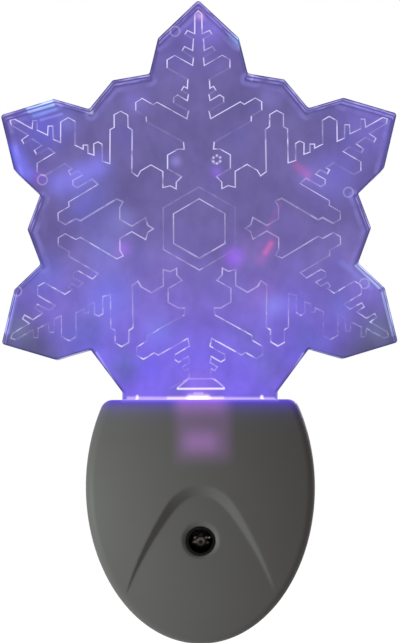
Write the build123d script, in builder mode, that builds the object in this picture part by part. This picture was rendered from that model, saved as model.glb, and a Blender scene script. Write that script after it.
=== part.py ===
from build123d import *
import os
from math import asin, cos, degrees, radians, sin, sqrt, tan

# Plug-in night light. A clear snowflake panel stands by its tab in the flat top of an
# oval housing, lit from below by one LED. The round plug base swivels in the back.
# Millimetres. Origin: plug axis on the back plane. +Y goes into the wall, +Z is up.
# A depth is counted from the back plane towards the room, so depth d lies at y = -d.

# ---- housing ---------------------------------------------------------------------
housing_width = 49.0      # across the widest part of the oval
oval_height = 68.0        # full height of the oval that the flat top cuts
oval_centre_z = 7.8
top_z = 26.5              # flat top
top_corner_r = 2.7
least_corner_r = 0.4      # inner corners are never sharper
housing_depth = 26.0      # back plane to the crown of the front
parting_depth = 11.0      # back plane to the seam between the halves
wall = 1.8
back_wall = 2.0
crown_r = 90.0            # radius of the domed front
front_edge_r = 2.4
back_edge_r = 1.5
seam_bevel = 0.25
tongue_t = 1.0            # tongue of the rear half inside the front half
tongue_length = 1.5
tongue_clear = 0.15

# ---- arch-shaped recess in the front ---------------------------------------------
arch_peak_z = 14.1        # where the straight legs would meet
arch_half_angle = 37.8
arch_nose_r = 9.0
arch_wall_slope = 50.0    # slope of the recess wall from the depth direction
arch_lead = 0.2           # the recess is cut from this far in front of the crown
arch_reach = 4.6          # to this far in, past where floor and crown meet
recess_tilt = 5.0         # tilt of the recess floor against the crown
recess_line_z = -15.4     # level at which floor and crown meet

# ---- snowflake panel -------------------------------------------------------------
panel_centre_z = 63.7
panel_mid_depth = 12.0
panel_t = 6.0
tip_r = 49.8
shoulder_r = 42.4
shoulder_angle = 12.0
notch_r = 35.4
notch_angle = 17.6
lobe_r = 37.4
arm_step = 60.0           # angle from one arm to the next
outline_corner_r = 0.7
stem_half_width = 16.9
stem_side = 1.7           # upright edge of the stem above the housing top
tab_half_width = 13.7
tab_length = 5.7
slot_clear = 0.2
figure_h = 0.5            # height of the raised figure
figure_slope = 30.0       # draft of the figure's walls
figure_foot_clear = 2.4   # figure ends this far above the housing top
hexagon_outer_r = 9.2
hexagon_inner_r = 6.3
pin_mark_r = 1.05         # round ejector marks
pin_mark_t = 0.15
pin_mark_spots = ((-5.1, 43.0), (-34.1, 10.8), (-39.8, -13.4), (35.9, -12.1), (32.5, 7.8))
gate_mark_r = 1.1         # conical gate mark
gate_mark_t = 0.45
gate_mark_slope = 50.0
gate_mark_spot = (3.7, 14.9)

# Corners of half an arm of the raised figure, from its tip to the point between two
# arms, as (across, along) in hundredths of tip_r from the panel's centre.
half_arm = (
    (0.0, 95.6), (1.8, 93.8), (1.9, 85.5), (5.0, 86.9), (6.2, 84.8), (2.5, 82.7),
    (2.8, 78.2), (6.2, 79.9), (7.5, 77.7), (2.5, 74.5), (2.8, 71.7), (10.4, 76.0),
    (14.0, 73.9), (14.0, 70.1), (5.0, 65.0), (5.2, 61.7), (6.6, 62.5), (7.9, 60.3),
    (4.8, 58.4), (5.2, 56.3), (9.2, 58.7), (11.2, 57.4), (11.2, 54.9), (4.8, 51.2),
    (5.4, 48.4), (18.2, 55.6), (19.9, 54.5), (24.7, 57.3), (27.8, 55.4), (27.8, 51.5),
    (23.3, 48.8), (23.1, 46.6), (7.0, 37.6), (6.7, 35.0), (9.3, 35.0), (14.0, 32.3),
    (14.0, 26.0), (8.1, 22.6), (10.2, 20.4), (10.3, 17.8),
)

# ---- light source ----------------------------------------------------------------
led_r = 2.5
led_flange_r = 2.9
led_flange_t = 1.0
led_length = 8.6
led_gap = 1.2             # between the LED's tip and the tab
led_pitch = 2.54
led_dome_share = 0.96     # share of the radius that is rounded at the tip
led_lead_bend_r = 1.0
led_foot_z = 5.8          # level at which the LED's leads enter the board
shroud_inner_width = 11.5
shroud_wall = 1.0
shroud_front_gap = 1.1    # behind the housing's front wall
shroud_top_gap = 0.3

# ---- photocell -------------------------------------------------------------------
sensor_z = -3.5
sensor_hole_r = 3.1
sensor_sink_t = 0.6
sensor_sink_slope = 60.0
sensor_recess = 0.4       # front of the photocell behind the recess floor
sleeve_clear = 0.15
sleeve_body_r = 4.0
sleeve_bore_clear = 0.1

# ---- circuit board ---------------------------------------------------------------
board_depth = 8.0         # back face of the board
board_t = 1.6
board_inset = 4.5         # inside the housing outline
board_corner_r = 1.0
lead_r = 0.25
lead_out = 0.6            # leads stick out behind the board
lead_clear = 0.05
standoff = 0.3            # gap under parts that stand on the board
post_r = 2.2
side_post_inset = 2.2     # nearer the middle than the housing screws
side_post_drop = 5.0      # below the board's top edge
low_post_rise = 6.0       # above the lowest housing screw
low_edge_drop = 2.2       # board's lower edge below its lowest screw

# ---- parts on the board, as (across, up) ------------------------------------------
film_cap_spot = (-10.0, -5.5)
film_cap_size = (6.0, 12.0, 10.0)
film_cap_corner_r = 0.8
film_cap_pitch = 7.5
can_spot = (9.5, -5.5)
can_r = 3.4
can_length = 10.5
can_pitch = 2.5
can_groove_t = 0.3
rectifier_spot = (8.5, -12.3)
rectifier_size = (6.4, 4.6, 2.6)
rectifier_bevel = 0.4
rectifier_pitch = (5.0, 2.5)
transistor_spot = (-5.5, -13.2)
transistor_r = 2.3
transistor_flat = 1.3
transistor_h = 4.6
transistor_pitch = 1.27
fuse_resistor_spot = (8.0, 3.6)
fuse_resistor_r = 1.6
fuse_resistor_length = 6.0
resistor_spots = ((-8.0, 2.8), (-8.0, 5.0), (8.0, 7.4))
resistor_r = 0.95
resistor_length = 3.6
fuse_waist_share = 0.93   # middle of a resistor, as a share of its end collars
resistor_waist_share = 0.85
zener_end_share = 0.9     # end collars of the diode, as a share of its middle
axial_middle_share = 0.59 # length of the middle, as a share of the body
zener_spot = (-8.0, 7.2)
zener_r = 0.9
zener_length = 3.8
lead_stub = 1.0           # straight lead beyond an axial part's end
lead_bend_r = 0.6

# ---- screws and bosses -----------------------------------------------------------
boss_side_inset = 7.4     # from the widest part of the oval
boss_top_inset = 13.0     # from the flat top
boss_low_inset = 6.2      # from the lowest point of the oval
front_boss_r = 3.0
rear_boss_r = 3.3
boss_screw_r = 1.3
boss_screw_length = 13.0
boss_screw_head_r = 2.3
boss_screw_head_h = 1.7
boss_screw_seat = 5.0     # depth of the seat under the head
counterbore_r = 2.6
board_screw_r = 1.0
board_screw_length = 6.0
board_screw_head_r = 1.9
board_screw_head_h = 1.3
ring_screw_r = 0.95
ring_screw_length = 3.8
ring_screw_head_r = 1.5
ring_screw_head_h = 1.2
ring_screw_angles = (135, 225, 315)
screw_clear = 0.05
cross_width = 0.5
cross_depth = 0.7
cross_share = 1.1         # length of the cross, as a share of the head's radius
screw_round_share = 0.33  # rounding of a head's rim and bevel of a shank's end

# ---- tab pegs --------------------------------------------------------------------
peg_side_inset = 4.2      # from the tab's sides
peg_drop = 3.5            # below the flat top
peg_r = 1.4
peg_clear = 0.15
peg_length = 3.5          # beyond the back face of the tab
peg_post_r = 2.2

# ---- swivel plug -----------------------------------------------------------------
disc_r = 11.4
disc_clear = 0.1          # running clearance of the plug base
flange_r = 13.0
flange_t = 1.2
lug_width = 4.0
lug_r = 14.6
stop_clear = 0.2
swivel_travel = 90.0
guide_outer_r = 16.4
guide_clear = 0.2
land_h = 0.5              # raised lands under the contact rings
inner_ring_r = (2.8, 4.8)
outer_ring_r = (8.4, 10.4)
ring_t = 0.5
washer_t = 0.4
washer_clear = 0.05
washer_width = 1.4
retainer_t = 1.2
retainer_inner_r = 11.3
blade_spacing = 12.7
blade_width = 6.35
blade_t = 1.5
blade_length = 17.0
blade_tip_bevel = 0.6
blade_hole_r = 1.55
blade_hole_from_face = 11.7
foot_width = 3.0
foot_clear = 0.2
rivet_r = 0.5

# ---- leaf springs ----------------------------------------------------------------
spring_t = 0.3
spring_width = 2.4
spring_gap = 0.05         # between the spring and its ring
spring_pad = 2.0
spring_arm = 3.6
spring_lift = 0.8
spring_bend_r = 0.5

# ---- worked out from the sizes above ---------------------------------------------
panel_back_depth = panel_mid_depth - panel_t / 2
panel_front_depth = panel_mid_depth + panel_t / 2
tab_bottom_z = top_z - tab_length
board_front = board_depth + board_t
lead_end_depth = board_depth - lead_out
led_base_z = tab_bottom_z - led_gap - led_length
board_top_z = led_base_z - shroud_wall
slot_cut_h = 3 * wall     # boxes that cut the slot are centred on the top face
tongue_cut_h = 2 * (2 * wall + tongue_t)
arch_pad_growth = wall / cos(radians(arch_wall_slope))
crown_y = crown_r - housing_depth
line_sag = crown_r - sqrt(crown_r**2 - (recess_line_z - oval_centre_z) ** 2)
line_depth = housing_depth - line_sag
to_crown_y = crown_y + line_depth
to_crown_z = oval_centre_z - recess_line_z
tilt = radians(recess_tilt)
floor_y = -line_depth + to_crown_y * cos(tilt) + to_crown_z * sin(tilt)
floor_z = recess_line_z + to_crown_z * cos(tilt) - to_crown_y * sin(tilt)
sensor_face_depth = sqrt(crown_r**2 - (sensor_z - floor_z) ** 2) - floor_y
boss_x = housing_width / 2 - boss_side_inset
boss_z = top_z - boss_top_inset
boss_low_z = oval_centre_z - oval_height / 2 + boss_low_inset
boss_spots = ((-boss_x, boss_z), (boss_x, boss_z), (0, boss_low_z))
post_x = boss_x - side_post_inset
post_z = board_top_z - side_post_drop
low_post_z = boss_low_z + low_post_rise
board_post_spots = ((-post_x, post_z), (post_x, post_z), (0, low_post_z))
board_bottom_z = low_post_z - low_edge_drop
peg_x = tab_half_width - peg_side_inset
peg_spots = ((-peg_x, top_z - peg_drop), (peg_x, top_z - peg_drop))
sleeve_low_z = sensor_z - sleeve_body_r - floor_z
sleeve_wall_depth = sqrt((crown_r - wall) ** 2 - sleeve_low_z**2 - sleeve_body_r**2) - floor_y
sensor_tip_depth = sensor_face_depth - sensor_recess
sensor_base_depth = sensor_tip_depth - led_length
flange_depth = back_wall + disc_clear
disc_face_depth = flange_depth + flange_t
land_depth = disc_face_depth + land_h
ring_face_depth = land_depth + ring_t
washer_depth = disc_face_depth + washer_clear
retainer_depth = washer_depth + washer_t + washer_clear
retainer_face_depth = retainer_depth + retainer_t
guide_inner_r = flange_r + guide_clear
ring_screw_circle_r = (guide_inner_r + guide_outer_r) / 2

os.makedirs("parts", exist_ok=True)


def at_depth(depth):
    """Plane parallel to the wall, facing the room. Its x is X and its y is Z."""
    return Plane.XZ.offset(depth)


def save(piece, name):
    piece.part.label = name
    export_step(piece.part, f"parts/{name}.step")


def on_circle(radius, angle):
    return (radius * cos(radians(angle)), radius * sin(radians(angle)))


# ==== shapes that several pieces share ==============================================
def oval(depth, inset):
    """Housing outline, drawn in by inset, as a face at a depth."""
    with BuildSketch(at_depth(depth)) as outline:
        with Locations((0, oval_centre_z)):
            Ellipse(housing_width / 2 - inset, oval_height / 2 - inset)
        with Locations((0, top_z - inset)):
            Rectangle(
                housing_width,
                oval_height,
                align=(Align.CENTER, Align.MIN),
                mode=Mode.SUBTRACT,
            )
        top_corners = outline.vertices().group_by(Axis.Y)[-1]
        fillet(top_corners, max(top_corner_r - inset, least_corner_r))
    return outline.sketch


def domed_form(inset, depth):
    """Solid from a depth to the crown, drawn in by inset on every side."""
    base = oval(depth, inset)
    with BuildPart() as form:
        extrude(base, amount=housing_depth - depth)
        with Locations((0, crown_y, oval_centre_z)):
            Sphere(crown_r - inset, mode=Mode.INTERSECT)
        rim = form.faces().sort_by(Axis.Y)[0].edges()
        fillet(rim, max(front_edge_r - inset, least_corner_r))
    return form.part


def arch_form(growth, inset, reach):
    """What lies in front of the tilted recess floor, inside the arch."""
    start = housing_depth + arch_lead
    spread = growth + arch_lead * tan(radians(arch_wall_slope))
    foot_half = oval_height * tan(radians(arch_half_angle))
    facing_wall = Plane(origin=(0, -start, 0), x_dir=(-1, 0, 0), z_dir=(0, 1, 0))
    with BuildPart() as form:
        with BuildSketch(facing_wall) as arch:
            with BuildLine():
                Polyline(
                    (0, arch_peak_z),
                    (foot_half, arch_peak_z - oval_height),
                    (-foot_half, arch_peak_z - oval_height),
                    close=True,
                )
            make_face()
            fillet(arch.vertices().sort_by(Axis.Y)[-1], arch_nose_r)
            offset(amount=spread)
        extrude(amount=reach, taper=arch_wall_slope)
        with Locations((0, floor_y, floor_z)):
            Sphere(crown_r - inset, mode=Mode.SUBTRACT)
    return form.part


def posts(spots, radius, depth, clip):
    """Round posts from a depth to the inside of the front wall."""
    with BuildPart() as group:
        with BuildSketch(at_depth(depth)):
            with Locations(*spots):
                Circle(radius)
        extrude(amount=housing_depth - depth)
        add(clip, mode=Mode.INTERSECT)
    return group.part


def ring(inner_r, outer_r, depth, thickness):
    with BuildPart() as washer:
        with BuildSketch(at_depth(depth)):
            Circle(outer_r)
            Circle(inner_r, mode=Mode.SUBTRACT)
        extrude(amount=thickness)
    return washer.part


def cross_head_screws(spots, seat, sense, head_r, head_h, shank_r, length):
    """Like screws whose shanks run from the seat depth, deeper when sense is 1."""
    top = seat - sense * head_h
    with BuildPart() as screws:
        with BuildSketch(at_depth(seat)):
            with Locations(*spots):
                Circle(head_r)
        extrude(amount=-sense * head_h)
        fillet(screws.edges().filter_by_position(Axis.Y, -top, -top), head_h * screw_round_share)
        with BuildSketch(at_depth(seat)):
            with Locations(*spots):
                Circle(shank_r)
        extrude(amount=sense * length)
        end = seat + sense * length
        tip = screws.edges().filter_by_position(Axis.Y, -end, -end)
        chamfer(tip, shank_r * screw_round_share)
        with BuildSketch(at_depth(top)):
            with Locations(*spots):
                Rectangle(head_r * cross_share, cross_width)
                Rectangle(cross_width, head_r * cross_share)
        extrude(amount=sense * cross_depth, mode=Mode.SUBTRACT)
    return screws


# ==== front housing =================================================================
front_outer = domed_form(0, parting_depth)
front_inner = domed_form(wall, parting_depth)
front_clip = domed_form(wall / 2, board_depth)
arch_cut = arch_form(0, 0, arch_reach)
arch_pad = arch_form(arch_pad_growth, wall, arch_reach + arch_pad_growth)
front_bosses = posts(boss_spots, front_boss_r, parting_depth, front_clip)
board_posts = posts(board_post_spots, post_r, board_front, front_clip)
tab_posts = posts(peg_spots, peg_post_r, panel_front_depth + slot_clear, front_clip)

with BuildPart() as front_cavity:
    add(front_inner)
    add(arch_pad, mode=Mode.SUBTRACT)

with BuildPart() as front_housing:
    add(front_outer)
    seam_edge = front_housing.faces().sort_by(Axis.Y)[-1].outer_wire().edges()
    chamfer(seam_edge, seam_bevel)
    add(front_cavity.part, mode=Mode.SUBTRACT)
    add(front_bosses)
    add(board_posts)
    add(tab_posts)
    add(arch_cut, mode=Mode.SUBTRACT)
    # photocell hole and the shallow sink around it
    with BuildSketch(at_depth(sensor_base_depth)):
        with Locations((0, sensor_z)):
            Circle(sensor_hole_r)
    extrude(amount=led_length + 2 * sensor_recess, mode=Mode.SUBTRACT)
    with BuildSketch(at_depth(sensor_face_depth - sensor_sink_t)):
        with Locations((0, sensor_z)):
            Circle(sensor_hole_r)
    extrude(amount=2 * sensor_sink_t, taper=-sensor_sink_slope, mode=Mode.SUBTRACT)
    # front half of the slot for the panel's tab
    with BuildSketch(at_depth(parting_depth)):
        with Locations((0, top_z)):
            Rectangle(2 * (tab_half_width + slot_clear), slot_cut_h)
    extrude(
        amount=panel_front_depth + slot_clear - parting_depth,
        mode=Mode.SUBTRACT,
    )
    # screw holes
    with BuildSketch(at_depth(parting_depth)):
        with Locations(*boss_spots):
            Circle(boss_screw_r + screw_clear)
    extrude(
        amount=boss_screw_seat + boss_screw_length + screw_clear - parting_depth,
        mode=Mode.SUBTRACT,
    )
    with BuildSketch(at_depth(board_front)):
        with Locations(*board_post_spots):
            Circle(board_screw_r + screw_clear)
    extrude(amount=board_screw_length, mode=Mode.SUBTRACT)
save(front_housing, "front_housing")

# ==== rear housing ==================================================================
stop_angle = degrees(asin((lug_width / 2 + stop_clear) / guide_inner_r))
stop_reach = 2 * guide_outer_r
path_reach = 3 * guide_outer_r
lug_path = (
    (0, 0),
    on_circle(stop_reach, 90 + stop_angle),
    (0, path_reach),
    (path_reach, path_reach),
    (path_reach, 0),
    on_circle(stop_reach, 90 - swivel_travel - stop_angle),
)
ring_screw_spots = [on_circle(ring_screw_circle_r, a) for a in ring_screw_angles]
rear_outline = oval(0, 0)
rear_hollow = oval(back_wall, wall)
tongue_root = oval(parting_depth - tongue_length, wall / 2)
tongue_face = oval(parting_depth - tongue_length, wall + tongue_clear)
tongue_hole = oval(0, wall + tongue_clear + tongue_t)

with BuildPart() as rear_hole:
    extrude(tongue_hole, amount=housing_depth)

with BuildPart() as tongue:
    extrude(tongue_root, amount=tongue_length)
    extrude(tongue_face, amount=2 * tongue_length)
    add(rear_hole.part, mode=Mode.SUBTRACT)
    with BuildSketch(at_depth(0)):
        with Locations((0, top_z)):
            Rectangle(2 * (tab_half_width + 2 * slot_clear), tongue_cut_h)
    extrude(amount=housing_depth, mode=Mode.SUBTRACT)

with BuildPart() as rear_housing:
    extrude(rear_outline, amount=parting_depth)
    back_edge = rear_housing.faces().sort_by(Axis.Y)[-1].edges()
    fillet(back_edge, back_edge_r)
    seam_edge = rear_housing.faces().sort_by(Axis.Y)[0].edges()
    chamfer(seam_edge, seam_bevel)
    extrude(rear_hollow, amount=parting_depth, mode=Mode.SUBTRACT)
    # guide ring around the plug base, open where its lug travels
    with BuildSketch(at_depth(back_wall)):
        Circle(guide_outer_r)
        Circle(guide_inner_r, mode=Mode.SUBTRACT)
        with BuildLine():
            Polyline(*lug_path, close=True)
        make_face(mode=Mode.SUBTRACT)
    extrude(amount=retainer_depth - back_wall)
    # bosses for the housing screws
    with BuildSketch(at_depth(back_wall)):
        with Locations(*boss_spots):
            Circle(rear_boss_r)
    extrude(amount=parting_depth - back_wall)
    # posts and pegs that hold the panel's tab
    with BuildSketch(at_depth(back_wall)):
        with Locations(*peg_spots):
            Circle(peg_post_r)
    extrude(amount=panel_back_depth - slot_clear - back_wall)
    with BuildSketch(at_depth(back_wall)):
        with Locations(*peg_spots):
            Circle(peg_r)
    extrude(amount=panel_back_depth + peg_length - back_wall)
    add(tongue.part)
    # bore for the plug base
    with BuildSketch(at_depth(0)):
        Circle(disc_r + disc_clear)
    extrude(amount=back_wall, mode=Mode.SUBTRACT)
    # rear half of the slot for the tab
    with BuildSketch(at_depth(panel_back_depth - slot_clear)):
        with Locations((0, top_z)):
            Rectangle(2 * (tab_half_width + slot_clear), slot_cut_h)
    extrude(amount=parting_depth, mode=Mode.SUBTRACT)
    # screw holes
    with BuildSketch(at_depth(0)):
        with Locations(*boss_spots):
            Circle(counterbore_r)
    extrude(amount=boss_screw_seat, mode=Mode.SUBTRACT)
    with BuildSketch(at_depth(0)):
        with Locations(*boss_spots):
            Circle(boss_screw_r + screw_clear)
    extrude(amount=parting_depth, mode=Mode.SUBTRACT)
    with BuildSketch(at_depth(retainer_face_depth - ring_screw_length)):
        with Locations(*ring_screw_spots):
            Circle(ring_screw_r + screw_clear)
    extrude(amount=retainer_depth, mode=Mode.SUBTRACT)
save(rear_housing, "rear_housing")

# ==== snowflake panel ===============================================================
def panel_corners():
    """Outline from the right foot of the stem, round by the arms, to the left foot."""
    foot_z = top_z - panel_centre_z
    right = [(stem_half_width, foot_z), (stem_half_width, foot_z + stem_side)]
    around = []
    for arm in range(5):
        axis = arm_step * (arm - 0.5)
        around.append(on_circle(notch_r, axis - notch_angle))
        around.append(on_circle(shoulder_r, axis - shoulder_angle))
        around.append(on_circle(tip_r, axis))
        around.append(on_circle(shoulder_r, axis + shoulder_angle))
        around.append(on_circle(notch_r, axis + notch_angle))
        if arm < 4:
            around.append(on_circle(lobe_r, axis + arm_step / 2))
    left = [(-x, z) for x, z in reversed(right)]
    return right + around + left


def figure_corners():
    """Outline of the raised figure, all six arms, as points about the centre."""
    unit = tip_r / 100
    left_half = [(-x, z) for x, z in reversed(half_arm[1:])]
    arm_points = left_half + list(half_arm[:-1])
    corners = []
    for arm in range(6):
        turn = radians(arm_step * arm)
        for x, z in arm_points:
            across = x * cos(turn) + z * sin(turn)
            along = z * cos(turn) - x * sin(turn)
            corners.append((across * unit, along * unit))
    return corners


def drawn_in(corners, distance):
    """The same outline with every side moved inwards by a distance, corners kept sharp."""
    inner = []
    for index, here in enumerate(corners):
        before = Vector(*corners[index - 1])
        after = Vector(*corners[(index + 1) % len(corners)])
        corner = Vector(*here)
        side_in = (corner - before).normalized()
        side_out = (after - corner).normalized()
        inward = Vector(side_in.Y + side_out.Y, -side_in.X - side_out.X, 0)
        shift = inward * (distance / (1 + side_in.dot(side_out)))
        inner.append((here[0] + shift.X, here[1] + shift.Y))
    return inner


panel_centre = (0, panel_centre_z)
figure_outline = figure_corners()
figure_top_outline = drawn_in(figure_outline, figure_h * tan(radians(figure_slope)))

with BuildPart() as raised_figure:
    with BuildSketch(at_depth(panel_front_depth)):
        with Locations(panel_centre):
            Polygon(*figure_outline, align=None)
    with BuildSketch(at_depth(panel_front_depth + figure_h)):
        with Locations(panel_centre):
            Polygon(*figure_top_outline, align=None)
    loft(ruled=True)
    with BuildSketch(at_depth(panel_front_depth)):
        with Locations((0, top_z + figure_foot_clear)):
            Rectangle(3 * tip_r, 3 * tip_r, align=(Align.CENTER, Align.MIN))
    extrude(amount=figure_h, mode=Mode.INTERSECT)

with BuildPart() as snowflake_panel:
    with BuildSketch(at_depth(panel_back_depth)) as outline:
        with Locations(panel_centre):
            Polygon(*panel_corners(), align=None)
        free_corners = outline.vertices().sort_by(Axis.Y)[2:]
        fillet(free_corners, outline_corner_r)
        with Locations((0, top_z)):
            Rectangle(2 * tab_half_width, tab_length, align=(Align.CENTER, Align.MAX))
    extrude(amount=panel_t)
    add(raised_figure.part)
    with BuildSketch(at_depth(panel_front_depth + figure_h)):
        with Locations(panel_centre):
            RegularPolygon(hexagon_outer_r, 6, rotation=arm_step / 2)
            RegularPolygon(hexagon_inner_r, 6, rotation=arm_step / 2, mode=Mode.SUBTRACT)
    extrude(amount=-figure_h, taper=figure_slope, mode=Mode.SUBTRACT)
    # round marks left by the mould
    with BuildSketch(at_depth(panel_front_depth)):
        with Locations(panel_centre):
            with Locations(*pin_mark_spots):
                Circle(pin_mark_r)
    extrude(amount=-pin_mark_t, mode=Mode.SUBTRACT)
    with BuildSketch(at_depth(panel_front_depth + figure_h)):
        with Locations(panel_centre):
            with Locations(gate_mark_spot):
                Circle(gate_mark_r)
    extrude(amount=-gate_mark_t, taper=gate_mark_slope, mode=Mode.SUBTRACT)
    # holes for the pegs
    with BuildSketch(at_depth(panel_back_depth)):
        with Locations(*peg_spots):
            Circle(peg_r + peg_clear)
    extrude(amount=panel_t, mode=Mode.SUBTRACT)
save(snowflake_panel, "snowflake_panel")

# ==== LED ===========================================================================
led_plane = Plane.XY.offset(led_base_z)
led_spots = [(side * led_pitch / 2, led_foot_z) for side in (-1, 1)]


def dome_body(plane, centre):
    """Round epoxy body with a flange at its base and a dome at its tip."""
    with BuildPart() as body:
        with BuildSketch(plane):
            with Locations(centre):
                Circle(led_flange_r)
        extrude(amount=led_flange_t)
        with BuildSketch(plane):
            with Locations(centre):
                Circle(led_r)
        extrude(amount=led_length)
        tip = body.edges().filter_by(GeomType.CIRCLE).sort_by_distance(
            plane.from_local_coords((centre[0], centre[1], led_length))
        )[0]
        fillet(tip, led_r * led_dome_share)
    return body


led_body = dome_body(led_plane, (0, -panel_mid_depth))
save(led_body, "led_body")

with BuildPart() as led_leads:
    for x, z in led_spots:
        with BuildLine() as route:
            FilletPolyline(
                (x, -panel_mid_depth, led_base_z),
                (x, -panel_mid_depth, led_foot_z),
                (x, -lead_end_depth, led_foot_z),
                radius=led_lead_bend_r,
            )
        with BuildSketch(Plane.XY.offset(led_base_z)):
            with Locations((x, -panel_mid_depth)):
                Circle(lead_r)
        sweep(path=route.line)
save(led_leads, "led_leads")

shroud_half = shroud_inner_width / 2 + shroud_wall
shroud_back_depth = panel_mid_depth - led_flange_r - sleeve_clear - shroud_wall
shroud_top_z = tab_bottom_z - shroud_top_gap
corner_rise = shroud_top_z - oval_centre_z
corner_drop = (crown_r - wall) ** 2 - shroud_half**2 - corner_rise**2
shroud_front_depth = sqrt(corner_drop) - crown_y - shroud_front_gap
with BuildPart() as light_shroud:
    with BuildSketch(Plane.XY.offset(board_top_z)):
        with Locations((0, -shroud_back_depth)):
            Rectangle(
                2 * shroud_half,
                shroud_front_depth - shroud_back_depth,
                align=(Align.CENTER, Align.MAX),
            )
    extrude(amount=shroud_top_z - board_top_z)
    with BuildSketch(Plane.XY.offset(led_base_z)):
        with Locations((0, -shroud_back_depth - shroud_wall)):
            Rectangle(
                shroud_inner_width,
                shroud_front_depth,
                align=(Align.CENTER, Align.MAX),
            )
    extrude(amount=shroud_top_z, mode=Mode.SUBTRACT)
    with BuildSketch(Plane.XY.offset(board_top_z)):
        with Locations((-led_pitch / 2, -panel_mid_depth), (led_pitch / 2, -panel_mid_depth)):
            Circle(lead_r + 2 * lead_clear)
    extrude(amount=shroud_wall, mode=Mode.SUBTRACT)
save(light_shroud, "light_shroud")

# ==== photocell =====================================================================
sensor_centre = (0, sensor_z)
sensor_spots = [(side * led_pitch / 2, sensor_z) for side in (-1, 1)]
photo_sensor = dome_body(at_depth(sensor_base_depth), sensor_centre)
save(photo_sensor, "photo_sensor")

with BuildPart() as sensor_leads:
    with BuildSketch(at_depth(lead_end_depth)):
        with Locations(*sensor_spots):
            Circle(lead_r)
    extrude(amount=sensor_base_depth - lead_end_depth)
save(sensor_leads, "sensor_leads")

sleeve_shoulder_depth = sleeve_wall_depth - sleeve_clear
with BuildPart() as sensor_sleeve:
    with BuildSketch(at_depth(board_front)):
        with Locations(sensor_centre):
            Circle(sleeve_body_r)
    extrude(amount=sleeve_shoulder_depth - board_front)
    with BuildSketch(at_depth(sleeve_shoulder_depth)):
        with Locations(sensor_centre):
            Circle(sensor_hole_r - sleeve_clear)
    extrude(amount=sensor_tip_depth - sleeve_shoulder_depth)
    with BuildSketch(at_depth(board_front)):
        with Locations(sensor_centre):
            Circle(led_r + sleeve_bore_clear)
    extrude(amount=sensor_tip_depth, mode=Mode.SUBTRACT)
    with BuildSketch(at_depth(board_front)):
        with Locations(sensor_centre):
            Circle(led_flange_r + sleeve_bore_clear)
    extrude(
        amount=sensor_base_depth + led_flange_t + sleeve_bore_clear - board_front,
        mode=Mode.SUBTRACT,
    )
save(sensor_sleeve, "sensor_sleeve")

# ==== parts on the board ============================================================
def spots_about(centre, across, up):
    return [(centre[0] + dx, centre[1] + dz) for dx, dz in zip(across, up)]


film_cap_leads = spots_about(film_cap_spot, (0, 0), (-film_cap_pitch / 2, film_cap_pitch / 2))
can_leads = spots_about(can_spot, (0, 0), (-can_pitch / 2, can_pitch / 2))
half_x, half_z = rectifier_pitch[0] / 2, rectifier_pitch[1] / 2
rectifier_leads = spots_about(
    rectifier_spot, (-half_x, half_x, half_x, -half_x), (-half_z, -half_z, half_z, half_z)
)
transistor_leads = spots_about(
    transistor_spot, (-transistor_pitch, 0, transistor_pitch), (0, 0, 0)
)
axial_parts = [(fuse_resistor_spot, fuse_resistor_r, fuse_resistor_length)]
axial_parts += [(spot, resistor_r, resistor_length) for spot in resistor_spots]
axial_parts += [(zener_spot, zener_r, zener_length)]
axial_leads = [
    (spot[0] + side * (length / 2 + lead_stub), spot[1])
    for spot, radius, length in axial_parts
    for side in (-1, 1)
]
standing_leads = film_cap_leads + can_leads + rectifier_leads + transistor_leads
every_lead = standing_leads + axial_leads + led_spots + sensor_spots

with BuildPart() as circuit_board:
    with BuildSketch(at_depth(board_depth)) as board_shape:
        with Locations((0, oval_centre_z)):
            Ellipse(housing_width / 2 - board_inset, oval_height / 2 - board_inset)
        with Locations((0, (board_top_z + board_bottom_z) / 2)):
            Rectangle(housing_width, board_top_z - board_bottom_z, mode=Mode.INTERSECT)
        fillet(
            board_shape.vertices().group_by(Axis.Y)[0]
            + board_shape.vertices().group_by(Axis.Y)[-1],
            board_corner_r,
        )
        with Locations(*board_post_spots):
            Circle(board_screw_r + screw_clear, mode=Mode.SUBTRACT)
        with Locations(*every_lead):
            Circle(lead_r + lead_clear, mode=Mode.SUBTRACT)
    extrude(amount=board_t)
save(circuit_board, "circuit_board")

with BuildPart() as dropper_capacitor:
    with BuildSketch(at_depth(board_front + standoff)):
        with Locations(film_cap_spot):
            RectangleRounded(film_cap_size[0], film_cap_size[1], film_cap_corner_r)
    extrude(amount=film_cap_size[2])
    fillet(dropper_capacitor.faces().sort_by(Axis.Y)[0].edges(), film_cap_corner_r / 2)
save(dropper_capacitor, "dropper_capacitor")

with BuildPart() as smoothing_capacitor:
    with BuildSketch(at_depth(board_front + standoff)):
        with Locations(can_spot):
            Circle(can_r)
    extrude(amount=can_length)
    fillet(smoothing_capacitor.edges().filter_by(GeomType.CIRCLE), can_groove_t)
    groove_depth = board_front + standoff + 4 * can_groove_t
    with BuildSketch(at_depth(groove_depth)):
        with Locations(can_spot):
            Circle(can_r)
            Circle(can_r - can_groove_t, mode=Mode.SUBTRACT)
    extrude(amount=2 * can_groove_t, mode=Mode.SUBTRACT)
save(smoothing_capacitor, "smoothing_capacitor")

with BuildPart() as bridge_rectifier:
    with BuildSketch(at_depth(board_front + standoff)):
        with Locations(rectifier_spot):
            Rectangle(rectifier_size[0], rectifier_size[1])
    extrude(amount=rectifier_size[2])
    chamfer(bridge_rectifier.faces().sort_by(Axis.Y)[0].edges(), rectifier_bevel)
save(bridge_rectifier, "bridge_rectifier")

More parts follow.
